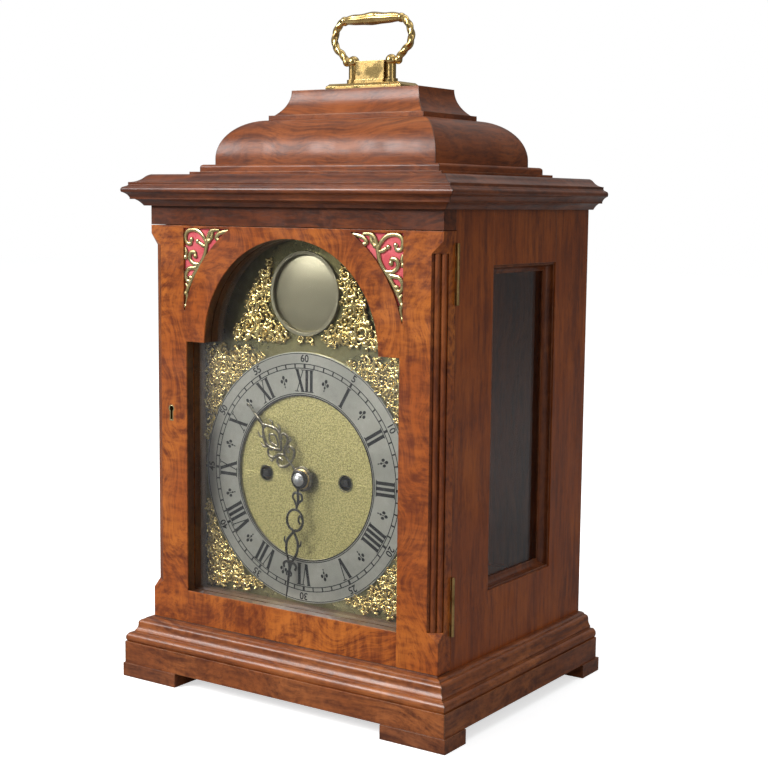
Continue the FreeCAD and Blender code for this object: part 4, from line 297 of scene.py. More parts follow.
def wood(name, dark, middle, light, axes="z", swirl=0.3, ripple=0.25, rough=0.32, coat=0.22, wear=0.6,
         hips=None, offset=(0, 0, 0)):
    """Polished mahogany. The axes give the grain's direction; hips give a mitred moulding's half sizes; on the
    door, painted shade darkens the reveal of the glazed opening.
    """
    material, n, shader = blank(name)
    place = n.vector("ADD", n.position(), offset)
    mitre = 0.0
    if hips:
        runs = n.group(RUN_AXES, Vector=place, Half_X=hips[0], Half_Y=hips[1], Middle_Y=hips[2])
        place, mitre = runs["Vector"], runs["Mitre"]
    elif axes == "z":
        x, y, z = n.split(place)
        place = n.join(z, x, y)
    elif axes == "door":
        x, y, z = n.split(place)
        in_rail = n.math("MULTIPLY", n.math("LESS_THAN", z, SIGHT_BOTTOM),
                         n.math("LESS_THAN", n.math("ABSOLUTE", x), SIGHT_HALF))
        keep = n.math("SUBTRACT", 1.0, in_rail)
        along = n.math("ADD", n.math("MULTIPLY", z, keep), n.math("MULTIPLY", x, in_rail))
        across = n.math("ADD", n.math("MULTIPLY", x, keep), n.math("MULTIPLY", z, in_rail))
        place = n.join(along, across, y)
    grain = n.group(WOOD_GRAIN, Vector=place, Swirl=swirl, Ripple=ripple)
    colour = n.mix(grain["Tone"], (*dark, 1), (*middle, 1))
    lit = n.math("MULTIPLY", grain["Patches"], n.math("MULTIPLY", grain["Tone"], 0.8))
    colour = n.mix(lit, colour, (*light, 1))
    colour = n.mix(n.math("MULTIPLY", grain["Pores"], 0.35), colour, (*[c * 0.25 for c in dark], 1))
    colour = n.mix(n.math("MULTIPLY", mitre, 0.6), colour, (*[c * 0.4 for c in dark], 1))
    edge = n.group(EDGE_WEAR, Width=WORN_EDGE, Break=55.0)
    colour = n.mix(n.math("MULTIPLY", edge["Worn"], wear), colour, RUBBED_WOOD)
    if axes == "door":
        # Painted shade: the reveal inside the door's glazed opening is darkened towards a dark brown.
        x, y, z = n.split(n.position())
        inward = n.between(y, REVEAL_FROM, REVEAL_TO)
        opening = n.math("LESS_THAN", n.math("ABSOLUTE", x), SIGHT_HALF + 0.4 * MM)
        shade = n.math("MULTIPLY", inward, n.math("MULTIPLY", opening, 0.8))
        colour = n.mix(shade, colour, REVEAL_PAINTED_SHADE)
    n.feed(shader.inputs["Base Color"], colour)
    handled = n.group(PATCHES, Scale=24.0)
    n.feed(shader.inputs["Roughness"], n.between(handled["Mask"], 0.0, 1.0, rough, rough + 0.14))
    shader.inputs["Coat Weight"].default_value = coat
    shader.inputs["Coat Roughness"].default_value = 0.16
    shader.inputs["Specular IOR Level"].default_value = 0.28
    height = n.math("SUBTRACT", n.math("MULTIPLY", grain["Tone"], 0.5), grain["Pores"])
    bumped(n, shader, height, 0.12, GRAIN_DEPTH, edge["Normal"])
    return material


def metal(name, bright, dull, rough, scale=60.0, grit=0.0, wear=0.0, metallic=1.0, rub=(0.95, 0.85, 0.6)):
    """Brass, gilt, silvering or steel with tarnish in patches, matted where grit gives a depth."""
    material, n, shader = blank(name)
    place = n.position()
    tarnish = n.between(n.noise(place, scale, 4.0, 0.65), 0.35, 0.66)
    colour = n.mix(tarnish, (*bright, 1), (*dull, 1))
    edge = n.group(EDGE_WEAR, Width=METAL_EDGE, Break=90.0)
    if wear:
        colour = n.mix(n.math("MULTIPLY", edge["Worn"], wear), colour, (*rub, 1))
    n.feed(shader.inputs["Base Color"], colour)
    n.feed(shader.inputs["Roughness"], n.between(tarnish, 0.0, 1.0, rough[0], rough[1]))
    shader.inputs["Metallic"].default_value = metallic
    if grit:
        bumped(n, shader, n.noise(place, 1300.0, 2.0, 0.6), 0.9, grit, edge["Normal"])
    else:
        bumped(n, shader, n.noise(place, 300.0, 2.0, 0.6), 0.08, METAL_DEPTH, edge["Normal"])
    return material


def glass_pane(name):
    """Old window glass that lets light through to the dial."""
    material, n, shader = blank(name)
    shader.inputs["Base Color"].default_value = (0.97, 0.985, 0.975, 1)
    shader.inputs["Transmission Weight"].default_value = 1.0
    shader.inputs["IOR"].default_value = 1.45
    bumped(n, shader, n.noise(n.position(), 12.0, 1.0), 0.05, GLASS_WAVE)
    smear = n.noise(n.position(), 34.0, 3.0, 0.6)
    n.feed(shader.inputs["Roughness"], n.between(smear, 0.45, 0.8, 0.0, 0.05))
    rays = n.add("ShaderNodeLightPath")
    clear = n.add("ShaderNodeBsdfTransparent")
    mixed = n.add("ShaderNodeMixShader")
    through = n.math("MAXIMUM", rays.outputs["Is Shadow Ray"], rays.outputs["Is Diffuse Ray"])
    n.feed(mixed.inputs[0], through)
    n.feed(mixed.inputs[1], shader.outputs[0])
    n.feed(mixed.inputs[2], clear.outputs[0])
    n.feed(n.tree.nodes["Material Output"].inputs["Surface"], mixed.outputs[0])
    return material


def silk(name):
    """Faded red silk: fine plain weave with a soft sheen."""
    material, n, shader = blank(name)
    x, y, z = n.split(n.position())
    warp = n.math("SINE", n.math("MULTIPLY", x, THREADS))
    weft = n.math("SINE", n.math("MULTIPLY", z, THREADS))
    faded = n.between(n.noise(n.position(), 70.0, 3.0), 0.35, 0.7)
    colour = n.mix(faded, (0.62, 0.045, 0.065, 1), (0.80, 0.13, 0.15, 1))
    n.feed(shader.inputs["Base Color"], colour)
    shader.inputs["Roughness"].default_value = 0.6
    shader.inputs["Sheen Weight"].default_value = 0.4
    bumped(n, shader, n.math("MULTIPLY", warp, weft), 0.4, METAL_DEPTH)
    return material


def engraving(name):
    """Black wax in the engraved lines."""
    material, n, shader = blank(name)
    worn = n.between(n.noise(n.position(), 260.0, 3.0), 0.5, 0.8)
    n.feed(shader.inputs["Base Color"], n.mix(worn, (0.004, 0.004, 0.005, 1), (0.030, 0.030, 0.030, 1)))
    shader.inputs["Roughness"].default_value = 0.85
    shader.inputs["Specular IOR Level"].default_value = 0.12
    return material


# A case moulding is mitred at its two front corners and runs square off the back, far behind the clock.
CASE_FRONT = -90.5 * MM
FAR_MIDDLE = 200 * MM
CASE_HIPS = (HALF_WIDTH, FAR_MIDDLE - CASE_FRONT, FAR_MIDDLE)
BELL_HIPS = ((bell_high.x - bell_low.x) / 2, (bell_high.y - bell_low.y) / 2, (bell_high.y + bell_low.y) / 2)

LOOKS = {
    "front_door_frame": wood("door_veneer", (0.140, 0.026, 0.004), (0.36, 0.080, 0.009), (0.54, 0.160, 0.021),
                             axes="door", swirl=1.1, ripple=0.45, wear=0.25),
    "case_rails": wood("rail_mahogany", (0.045, 0.009, 0.002), (0.13, 0.026, 0.004), (0.21, 0.052, 0.010),
                       axes="x", swirl=0.5),
    "right_side": wood("side_mahogany", (0.135, 0.026, 0.004), (0.30, 0.062, 0.006), (0.39, 0.098, 0.012),
                       swirl=0.15, ripple=0.1, offset=(0.3, 0.1, 0)),
    "cornice": wood("cornice_mahogany", (0.05, 0.010, 0.003), (0.145, 0.032, 0.006), (0.27, 0.070, 0.016),
                    hips=CASE_HIPS, swirl=0.2, wear=0.5),
    "base_moulding": wood("moulding_mahogany", (0.11, 0.026, 0.007), (0.28, 0.075, 0.017),
                          (0.42, 0.14, 0.038), hips=CASE_HIPS, swirl=0.25, wear=0.6),
    "plinth": wood("plinth_mahogany", (0.10, 0.024, 0.007), (0.26, 0.070, 0.017), (0.40, 0.13, 0.036),
                   hips=CASE_HIPS, swirl=0.5, wear=0.7),
    "bell_ovolo": wood("bell_mahogany", (0.085, 0.018, 0.004), (0.23, 0.053, 0.009), (0.34, 0.095, 0.020),
                       hips=BELL_HIPS, swirl=0.5, ripple=0.15, rough=0.34, coat=0.06),
    "feet": wood("foot_mahogany", (0.08, 0.022, 0.009), (0.22, 0.064, 0.021), (0.32, 0.11, 0.04),
                 axes="x", wear=0.6),
    "corner_reeds": wood("reed_mahogany", (0.09, 0.019, 0.005), (0.22, 0.052, 0.010), (0.32, 0.092, 0.020),
                         wear=0.4),
    "window_mouldings": wood("window_moulding", (0.07, 0.016, 0.005), (0.17, 0.042, 0.010),
                             (0.25, 0.07, 0.018)),
    "dial_mask": wood("mask_wood", (0.045, 0.022, 0.010), (0.105, 0.056, 0.027), (0.17, 0.098, 0.05),
                      rough=0.6, coat=0.0, wear=0.2),
    "seat_board": wood("carcase_oak", (0.10, 0.06, 0.03), (0.22, 0.14, 0.075), (0.30, 0.20, 0.11), axes="x",
                       rough=0.6, coat=0.0, wear=0.2),
    "handle_mount": metal("handle_brass", (0.66, 0.47, 0.19), (0.38, 0.25, 0.09), (0.16, 0.36), wear=0.3),
    "corner_frets": metal("fret_brass", (0.62, 0.52, 0.27), (0.30, 0.23, 0.10), (0.22, 0.42), wear=0.3),
    "front_door_hinges": metal("hinge_brass", (0.50, 0.33, 0.13), (0.22, 0.13, 0.05), (0.3, 0.5)),
    "spandrels": metal("gilt_casting", (0.95, 0.77, 0.36), (0.33, 0.23, 0.07), (0.14, 0.32), scale=240.0),
    "dial_plate": metal("dial_plate_brass", (0.26, 0.235, 0.115), (0.13, 0.115, 0.05), (0.22, 0.42),
                        scale=26.0),
    "chapter_ring": metal("silvering", (0.37, 0.36, 0.315), (0.28, 0.27, 0.235), (0.30, 0.44), scale=35.0,
                          metallic=0.9),
    "arch_boss": metal("boss_silvering", (0.28, 0.255, 0.175), (0.25, 0.225, 0.155), (0.30, 0.36), scale=14.0,
                       metallic=0.9),
    "matted_centre": metal("matted_gilt", (0.36, 0.315, 0.135), (0.185, 0.16, 0.06), (0.45, 0.6), scale=850.0,
                           grit=0.35 * MM),
    "hour_hand": metal("worn_steel", (0.24, 0.21, 0.15), (0.060, 0.052, 0.040), (0.2, 0.38), scale=160.0,
                       wear=0.4, rub=(0.62, 0.58, 0.48)),
    "minute_hand": metal("blued_steel", (0.050, 0.046, 0.044), (0.020, 0.020, 0.024), (0.2, 0.38), wear=0.25,
                         rub=(0.30, 0.27, 0.24)),
    "gong": metal("bell_metal", (0.62, 0.47, 0.24), (0.45, 0.33, 0.16), (0.3, 0.45)),
    "movement_frame": metal("movement_brass", (0.70, 0.52, 0.24), (0.48, 0.34, 0.15), (0.25, 0.45)),
    "hammer": metal("bright_steel", (0.55, 0.55, 0.56), (0.36, 0.35, 0.35), (0.25, 0.45)),
    # Near-black steel for the winding squares and their arbors.
    "winding_squares": metal("near_black_steel", (0.045, 0.042, 0.040), (0.02, 0.018, 0.017), (0.3, 0.5)),
    "front_door_glass": glass_pane("old_glass"),
    "fret_silk": silk("red_silk"),
    "numerals": engraving("black_wax"),
}

SHARED_BY = {
    "right_side": ("left_side", "back_door_frame", "back_door_panel"),
    "bell_ovolo": ("bell_fillets", "bell_cap"),
    "case_rails": ("top_board",),
    "seat_board": ("base_board",),
    "front_door_glass": ("side_glasses",),
    "handle_mount": ("handle_bail", "back_catch", "pendulum_bob"),
    "corner_frets": ("keyhole_lining",),
    "front_door_hinges": ("case_hinges", "back_door_hinges"),
    "movement_frame": ("door_lock", "hour_wheel", "centre_arbor", "minute_wheel", "back_cock", "going_barrel",
                       "strike_barrel", "third_wheel", "escape_wheel", "pin_wheel", "gathering_wheel", "fly"),
    "hammer": ("lock_bolt", "clicks", "pallets", "pendulum_rod", "bell_stand"),
    "winding_squares": ("going_winding_arbor", "strike_winding_arbor"),
}
SAME_LOOK = {node: look for look, nodes in SHARED_BY.items() for node in nodes}


def dress(obj, look):
    """Gives an object one of the looks."""
    material = LOOKS[SAME_LOOK.get(look, look)]
    if not obj.material_slots:
        obj.data.materials.append(material)
    for slot in obj.material_slots:
        slot.material = material


for node_name, node_object in frame["nodes"].items():
    dress(node_object, node_name)


# ---------------- mesh helpers
def in_scene(name, data):
    """A new object in the scene."""
    obj = bpy.data.objects.new(name, data)
    bpy.context.scene.collection.objects.link(obj)
    return obj


def piece(name, bm, look, body, smooth=True):
    """Turns a bmesh into a piece that rides on a body."""
    mesh = bpy.data.meshes.new(name)
    bmesh.ops.recalc_face_normals(bm, faces=bm.faces)
    bm.to_mesh(mesh)
    bm.free()
    obj = in_scene(name, mesh)
    for polygon in mesh.polygons:
        polygon.use_smooth = smooth
    dress(obj, look)
    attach(obj, body)
    return obj


def add_plate(bm, outline, front, back, place):
    """Adds a flat shape: (u, v) points, between two depths; place turns (u, v, depth) into a point."""
    fronts = [bm.verts.new(place(u, v, front)) for u, v in outline]
    backs = [bm.verts.new(place(u, v, back)) for u, v in outline]
    bm.faces.new(fronts)
    bm.faces.new(list(reversed(backs)))
    count = len(outline)
    for k in range(count):
        after = (k + 1) % count
        bm.faces.new((fronts[k], backs[k], backs[after], fronts[after]))


def circle_of_points(bm, centre, radius, depth, steps):
    """Points of an upright circle."""
    turns = [2 * math.pi * k / steps for k in range(steps)]
    return [bm.verts.new((centre.x + radius * math.cos(a), depth, centre.z + radius * math.sin(a)))
            for a in turns]


def skin(bm, loops, steps):
    """Faces between each loop of points and the next, and from the last back to the first."""
    for one, two in zip(loops, loops[1:] + loops[:1]):
        for k in range(steps):
            m = (k + 1) % steps
            bm.faces.new((one[k], one[m], two[m], two[k]))


def add_ring(bm, centre, radius, width, front, back, steps=96):
    """Adds a thin circle line on the dial."""
    loops = []
    inner, outer = radius - width / 2, radius + width / 2
    for r, y in ((inner, front), (outer, front), (outer, back), (inner, back)):
        loops.append(circle_of_points(bm, centre, r, y, steps))
    skin(bm, loops, steps)


def add_tube(bm, points, radii, flat=1.0, sides=8, lobes=0, depth=0.0, twist=0.0):
    """Adds a tube along points in a plane of constant depth, flattened across that plane."""
    rings = []
    length = 0.0
    for k, point in enumerate(points):
        before = points[max(k - 1, 0)]
        after = points[min(k + 1, len(points) - 1)]
        tangent = (after - before).normalized()
        across = Vector((tangent.z, 0, -tangent.x))
        if k:
            length += (point - points[k - 1]).length
        ring = []
        for s in range(sides):
            a = 2 * math.pi * s / sides
            r = radii[k] * (1 + depth * math.cos(lobes * a - twist * length)) if lobes else radii[k]
            deep = Vector((0, r * flat * math.sin(a), 0))
            ring.append(bm.verts.new(point + across * (r * math.cos(a)) + deep))
        rings.append(ring)
    for one, two in zip(rings, rings[1:]):
        for s in range(sides):
            t = (s + 1) % sides
            bm.faces.new((one[s], one[t], two[t], two[s]))
    bm.faces.new(list(reversed(rings[0])))
    bm.faces.new(rings[-1])


def add_ball(bm, centre, radius, flat=1.0, segments=12):
    """Adds a ball, flattened in depth."""
    rows = segments // 2 + 1
    poles = [bm.verts.new(centre + Vector((0, y * radius * flat, 0))) for y in (-1, 1)]
    rings = []
    for k in range(1, rows):
        a = math.pi * k / rows
        out, deep = radius * math.sin(a), -radius * flat * math.cos(a)
        rings.append([bm.verts.new(centre + Vector((out * math.cos(b), deep, out * math.sin(b))))
                      for b in (2 * math.pi * s / segments for s in range(segments))])
    for s in range(segments):
        t = (s + 1) % segments
        bm.faces.new((poles[0], rings[0][t], rings[0][s]))
        bm.faces.new((poles[1], rings[-1][s], rings[-1][t]))
        for one, two in zip(rings, rings[1:]):
            bm.faces.new((one[s], one[t], two[t], two[s]))


def spiral(centre, radius, start, turns, shrink=0.34, steps=26):
    """Points of a scroll that winds into its eye; turns may be negative."""
    points = []
    for k in range(steps):
        t = k / (steps - 1)
        r = radius * (1 - t) + radius * shrink * t
        a = start + 2 * math.pi * turns * t
        points.append(centre + Vector((r * math.cos(a), 0, r * math.sin(a))))
    return points


def taper(count, thick, thin, bulb=1.5):
    """Radii that start thin, swell, thin again and end in a bulb."""
    radii = []
    for k in range(count):
        t = k / (count - 1)
        r = thin + (thick - thin) * math.sin(math.pi * min(1.0, t * 1.25)) ** 0.8
        radii.append(max(r, thin * bulb) if t > 0.9 else r)
    return radii


LEAF_PROFILE = ((-1.0, 0.0), (-0.55, 1.0), (0.0, 0.45), (0.55, 1.0), (1.0, 0.0))


def add_leaf(bm, root, tip, width, depth, lobes=3, steps=12):
    """Adds a raised, lobed leaf with a sunk middle vein."""
    run = tip - root
    side = Vector((run.z, 0, -run.x)).normalized()
    rows = []
    for k in range(steps + 1):
        t = k / steps
        half = width * math.sin(math.pi * min(1, 0.06 + 0.94 * t)) ** 0.75
        half *= 0.74 + 0.26 * abs(math.sin(lobes * math.pi * t))
        crest = depth * (0.35 + 0.65 * math.sin(math.pi * t))
        middle = root + run * t + side * (width * 0.25 * math.sin(math.pi * t))
        row = []
        for share, rise in LEAF_PROFILE:
            row.append(bm.verts.new(middle + side * (half * share) + Vector((0, -crest * rise, 0))))
        rows.append(row)
    for one, two in zip(rows, rows[1:]):
        for s in range(4):
            bm.faces.new((one[s], one[s + 1], two[s + 1], two[s]))


# ---------------- dial: engraving
LINE_FRONT = ring_low.y - 0.06 * MM
LINE_BACK = ring_low.y + 0.05 * MM


def polar_place(degrees):
    """Places (u, v) with v outwards along a direction clockwise from twelve."""
    a = math.radians(degrees)

    def place(u, v, depth):
        x = v * math.sin(a) + u * math.cos(a)
        z = v * math.cos(a) - u * math.sin(a)
        return Vector((dial_centre.x + x, depth, dial_centre.z + z))

    return place


NUMERAL_IN, NUMERAL_OUT = 59.0 * MM, 73.6 * MM
THICK, THIN, SERIF = 2.3 * MM, 0.7 * MM, 0.6 * MM
GLYPH_WIDTH = {"I": 3.8 * MM, "V": 7.6 * MM, "X": 7.6 * MM}
HALF_SERIF, HALF_SERIF_I = 1.5 * MM, 1.85 * MM
NUMERALS = ("XII", "I", "II", "III", "IIII", "V", "VI", "VII", "VIII", "IX", "X", "XI")
# A half-hour mark: where each dot of the small trefoil stands and its radius, and its stalk.
MARK_MIDDLE = 66.4 * MM
MARK_DOTS = ((0, 3.0, 1.15), (-1.9, 0.7, 1.1), (1.9, 0.7, 1.1), (0, -1.4, 0.75), (0, -3.6, 0.5))
MARK_STALK = ((-0.2, -3.6), (0.2, -3.6), (0.25, 2.4), (-0.25, 2.4))
TRACK_IN, TRACK_OUT = 75.0 * MM, 77.6 * MM
CIRCLES = ((84.7, 0.5), (77.7, 0.6), (74.8, 0.6), (57.6, 0.6), (56.4, 0.9))
MINUTE_HEIGHT, MINUTE_RADIUS = 6.9 * MM, 81.2 * MM


def add_stroke(bm, place, u0, u1, width):
    """Adds a straight stroke of a numeral, from its foot to its head."""
    h = width / 2
    outline = [(u0 - h, NUMERAL_IN), (u0 + h, NUMERAL_IN), (u1 + h, NUMERAL_OUT), (u1 - h, NUMERAL_OUT)]
    add_plate(bm, outline, LINE_FRONT, LINE_BACK, place)


def add_serif(bm, place, u, v, half):
    """Adds a thin bar across the end of a stroke."""
    h = SERIF / 2
    outline = [(u - half, v - h), (u + half, v - h), (u + half, v + h), (u - half, v + h)]
    add_plate(bm, outline, LINE_FRONT - 0.01 * MM, LINE_BACK, place)


def add_numeral(bm, text, degrees):
    """Adds a Roman numeral, its feet towards the centre."""
    place = polar_place(degrees)
    u = -sum(GLYPH_WIDTH[c] for c in text) / 2
    for c in text:
        w = GLYPH_WIDTH[c]
        middle = u + w / 2
        lean = w / 2 - 1.3 * MM
        if c == "I":
            add_stroke(bm, place, middle, middle, THICK)
            for v in (NUMERAL_IN, NUMERAL_OUT):
                add_serif(bm, place, middle, v, HALF_SERIF_I)
        elif c == "V":
            add_stroke(bm, place, middle, middle - lean, THICK)
            add_stroke(bm, place, middle + 0.4 * MM, middle + lean, THIN)
            for side in (-1, 1):
                add_serif(bm, place, middle + side * lean, NUMERAL_OUT, HALF_SERIF)
        else:
            add_stroke(bm, place, middle + lean, middle - lean, THICK)
            add_stroke(bm, place, middle - lean, middle + lean, THIN)
            for side in (-1, 1):
                for v in (NUMERAL_IN, NUMERAL_OUT):
                    add_serif(bm, place, middle + side * lean, v, HALF_SERIF)
        u += w


def chapter_engraving():
    """Numerals, half-hour marks, minute track and circles."""
    bm = bmesh.new()
    for k, text in enumerate(NUMERALS):
        add_numeral(bm, text, 30 * k)
    for k in range(12):
        place = polar_place(30 * k + 15)
        for u, v, r in MARK_DOTS:
            dot = [(u * MM + r * MM * math.cos(a), MARK_MIDDLE + v * MM + r * 1.25 * MM * math.sin(a))
                   for a in (math.pi / 4 * s for s in range(8))]
            add_plate(bm, dot, LINE_FRONT, LINE_BACK, place)
        stalk = [(u * MM, MARK_MIDDLE + v * MM) for u, v in MARK_STALK]
        add_plate(bm, stalk, LINE_FRONT, LINE_BACK, place)
    for k in range(60):
        h = (0.5 if k % 5 else 0.85) * MM
        dash = [(-h, TRACK_IN), (h, TRACK_IN), (h, TRACK_OUT), (-h, TRACK_OUT)]
        add_plate(bm, dash, LINE_FRONT, LINE_BACK, polar_place(6 * k))
    for radius, width in CIRCLES:
        add_ring(bm, dial_centre, radius * MM, width * MM, LINE_FRONT, LINE_BACK)
    return piece("chapter_engraving", bm, "numerals", "case", smooth=False)


def minute_numbers():
    """Arabic minute numbers outside the track."""
    for k in range(1, 13):
        curve = bpy.data.curves.new("minutes_%d" % (5 * k), "FONT")
        curve.body = str(5 * k)
        curve.size = MINUTE_HEIGHT
        curve.extrude = 0.05 * MM
        curve.align_x = "CENTER"
        curve.align_y = "CENTER"
        curve.offset = 0.12 * MM
        obj = in_scene(curve.name, curve)
        place = polar_place(30 * k)(0, MINUTE_RADIUS, LINE_FRONT + 0.02 * MM)
        upright = Matrix.Rotation(math.pi / 2, 4, "X")
        turned = Matrix.Rotation(math.radians(30 * k), 4, "Y")
        obj.matrix_world = Matrix.Translation(place) @ turned @ upright
        curve.materials.append(LOOKS["numerals"])
        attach(obj, "case")


MATTED_RADIUS = 55.9 * MM
WINDING_X, WINDING_RADIUS = 33.4 * MM, 5.2 * MM
PIPE_RADIUS = 4.6 * MM


def arc(middle, radius, start, turn, steps):
    """Points of an arc round (middle, 0), from a start angle through a turn."""
    angles = [start + turn * k / steps for k in range(steps + 1)]
    return [(middle + radius * math.cos(a), radius * math.sin(a)) for a in angles]


def matted_centre():
    """Matted gilt disc inside the chapter ring, in four quarters that meet round the three holes."""
    bm = bmesh.new()
    front, back = plate_front - 0.12 * MM, plate_front + 0.05 * MM
    for side in (-1, 1):
        for up in (-1, 1):
            rim = arc(0, MATTED_RADIUS, math.pi / 2, -math.pi / 2, 24)
            winding = arc(WINDING_X, WINDING_RADIUS, 0, math.pi, 16)
            pipe = arc(0, PIPE_RADIUS, 0, math.pi / 2, 6)

            def place(u, v, depth):
                return Vector((side * u, depth, dial_centre.z + up * v))

            add_plate(bm, rim + winding + pipe, front, back, place)
    return piece("matted_centre", bm, "matted_centre", "case", smooth=False)


# ---------------- dial: castings
CAST_DEPTH = plate_front - 0.7 * MM
FREE_EDGE = 1.1 * MM
CORNER_FILL, ARCH_FILL = 4.3 * MM, 7.0 * MM
FILL_REACH = 92 * MM
# Each main scroll: how far in from its corner and down from its edge, its radius, first angle and turns.
CORNER_SCROLLS = ((7.0, 7.0, 5.6, 0.2, 1.2), (17.4, 5.6, 4.4, 2.0, -1.1), (5.6, 17.4, 4.4, 0.6, 1.1),
                  (17.0, 16.6, 5.2, 3.6, 1.25), (27.4, 6.8, 4.4, 1.2, 1.15), (6.8, 27.4, 4.4, 4.0, -1.15),
                  (37.0, 4.4, 3.2, 3.0, -1.0), (4.4, 37.0, 3.2, 1.2, 1.0))
# Those beside the boss: out from the middle and up from the arch's foot, then the same three.
ARCH_SCROLLS = ((47.0, 12.5, 7.2, 0.4, 1.3), (57.0, 5.4, 3.4, 2.4, -1.2), (34.0, 8.0, 5.0, 4.4, -1.2),
                (22.0, 5.2, 3.0, 1.0, 1.0), (44.0, 26.5, 5.6, 4.8, 1.2), (37.4, 38.5, 4.4, 1.0, -1.2),
                (34.0, 49.4, 4.0, 2.0, 1.1))


def add_cast_scroll(bm, centre, radius, start, turns, chance, thick, leaves=4):
    """Adds a scroll with leaves springing from its back and a bud at its eye."""
    points = spiral(centre, radius, start, turns, steps=18)
    add_tube(bm, points, taper(len(points), thick, thick * 0.55), flat=1.1, sides=6)
    add_ball(bm, points[-1] + Vector((0, -0.35 * MM, 0)), min(1.5 * MM, radius * 0.34), 1.0, 8)
    for k in range(leaves):
        a = start + math.copysign(1.0, turns) * (0.3 + 4.6 / leaves * k) + chance.uniform(-0.3, 0.3)
        root = centre + Vector((radius * 0.8 * math.cos(a), 0, radius * 0.8 * math.sin(a)))
        out = a + math.copysign(0.8, turns)
        reach = radius * chance.uniform(0.6, 0.95)
        tip = root + Vector((reach * math.cos(out), 0, reach * math.sin(out)))
        add_leaf(bm, root, tip, radius * 0.34, 1.7 * MM, steps=7)


def in_corner(x, z, edge_z):
    """Whether a place right of and above the middle of the dial is in the corner outside the ring."""
    outside_ring = math.hypot(x, z) > ring_radius + FREE_EDGE
    return x < SIGHT_HALF - 2 * FREE_EDGE and z < edge_z - 0.9 * MM and outside_ring


def beside_boss(x, z):
    """Whether a place right of the middle of the arch's foot is in the casting beside the boss."""
    outer_edge = 62.0 * MM - 0.48 * z
    outside_boss = math.hypot(x, z + SPRING_Z - boss_centre.z) > boss_radius + 2 * FREE_EDGE
    return 4.4 * MM < z < 56.0 * MM and x < outer_edge and outside_boss


def filled(inside, spacing, chance):
    """Places on a loose grid inside a region."""
    spots = []
    count = int(FILL_REACH / spacing) + 1
    for row in range(count):
        for column in range(count):
            x = (column + 0.5 * (row % 2) + chance.uniform(-0.25, 0.25)) * spacing
            z = (row + chance.uniform(-0.25, 0.25)) * spacing * 0.88
            if inside(x, z):
                spots.append((x, z))
    return spots


def spandrel_castings():
    """Gilt scroll castings in the four corners and beside the boss."""
    bm = bmesh.new()
    side_x = SIGHT_HALF - 1.0 * MM
    chance = random.Random(7)
    scrolls = []
    for up in (-1, 1):
        edge_z = (SPRING_Z - dial_centre.z if up > 0 else dial_centre.z - SIGHT_BOTTOM) - 1.0 * MM
        for dx, dz, r, start, turns in CORNER_SCROLLS:
            scrolls.append((side_x - dx * MM, dial_centre.z, up, edge_z - dz * MM, r, start, turns, 1.3, 5))
        for x, z in filled(lambda x, z: in_corner(x, z, edge_z), CORNER_FILL, chance):
            room = (math.hypot(x, z) - ring_radius) / MM
            scrolls.append((x, dial_centre.z, up, z, min(chance.uniform(2.2, 3.0), 0.8 + 0.6 * room),
                            chance.uniform(0, 6.3), chance.choice((-1.1, 1.1)), 0.8, 3))
    for x, dz, r, start, turns in ARCH_SCROLLS:
        scrolls.append((x * MM, SPRING_Z, 1, dz * MM, r, start, turns, 1.6, 6))
    for x, z in filled(beside_boss, ARCH_FILL, chance):
        scrolls.append((x, SPRING_Z, 1, z, chance.uniform(3.0, 4.2), chance.uniform(0, 6.3),
                        chance.choice((-1.1, 1.1)), 1.05, 4))
    for x, base, up, z, r, start, turns, thick, leaves in scrolls:
        rise = (-0.9 if thick > 1.1 else chance.uniform(-0.3, 0.35)) * MM
        for mirror in (-1, 1):
            angle = start if mirror > 0 else math.pi - start
            eye = Vector((mirror * x, CAST_DEPTH + rise, base + up * z))
            add_cast_scroll(bm, eye, r * MM, up * angle, turns * mirror * up, chance, thick * MM, leaves)
    return piece("spandrel_castings", bm, "spandrels", "case")


# ---------------- frets
# Lines of the right fret, each from its corner inwards and down, in millimetres.
FRET_LINES = (
    ((39.4, 1.3), (34.6, 2.2), (30.6, 3.6), (28.4, 6.2), (30.2, 7.6)),
    ((31.6, 0.9), (26.2, 0.9), (22.6, 3.0), (20.9, 7.4), (19.6, 12.7), (18.4, 17.6), (15.6, 22.4),
     (11.9, 27.0), (7.6, 33.0), (4.4, 38.6), (1.7, 43.6), (2.3, 47.6), (0.9, 53.6)),
    ((19.9, 11.0), (17.4, 5.8), (12.8, 2.0), (7.2, 0.9), (2.6, 2.4), (1.0, 6.2), (2.4, 10.0), (5.6, 10.4),
     (6.4, 7.6)),
    ((19.7, 12.2), (16.0, 11.2), (12.0, 8.8)),
    ((17.6, 20.4), (13.6, 24.2), (8.2, 24.0), (4.6, 20.8), (5.6, 16.8), (9.2, 16.4), (9.8, 19.0)),
    ((0.8, 13.2), (1.6, 16.4), (0.8, 20.0)),
    ((13.6, 25.2), (8.6, 26.9), (3.6, 27.8), (1.1, 31.6), (2.1, 35.8), (5.0, 36.2), (5.4, 33.8)),
    ((1.0, 38.0), (3.0, 41.4), (1.1, 44.8)),
    ((25.4, 1.4), (24.6, 5.6), (22.0, 8.4)))


def pierced_frets():
    """Flat brass scrolls over the silk in both corners of the door."""
    bm = bmesh.new()
    low, high = corners("corner_frets")
    y = (low.y + high.y) / 2
    for mirror in (-1, 1):
        def place(dx, dz):
            return Vector((mirror * (high.x - dx * MM), y, high.z - dz * MM))

        for line in FRET_LINES:
            widths = [1.7] + [3.1] * (len(line) - 2) + [2.1]
            add_bar(bm, place, line, widths, flat=0.42)
            add_ball(bm, place(*line[-1]), 1.75 * MM, 0.5, 12)
    return piece("pierced_frets", bm, "corner_frets", "front_door")


# ---------------- hands
def hand_frame(degrees, y):
    """Places hand drawing coordinates: v along the hand from the centre, u across."""
    a = math.radians(degrees)

    def place(u, v):
        return Vector((dial_centre.x + (v * math.sin(a) + u * math.cos(a)) * MM, y,
                       dial_centre.z + (v * math.cos(a) - u * math.sin(a)) * MM))

    return place


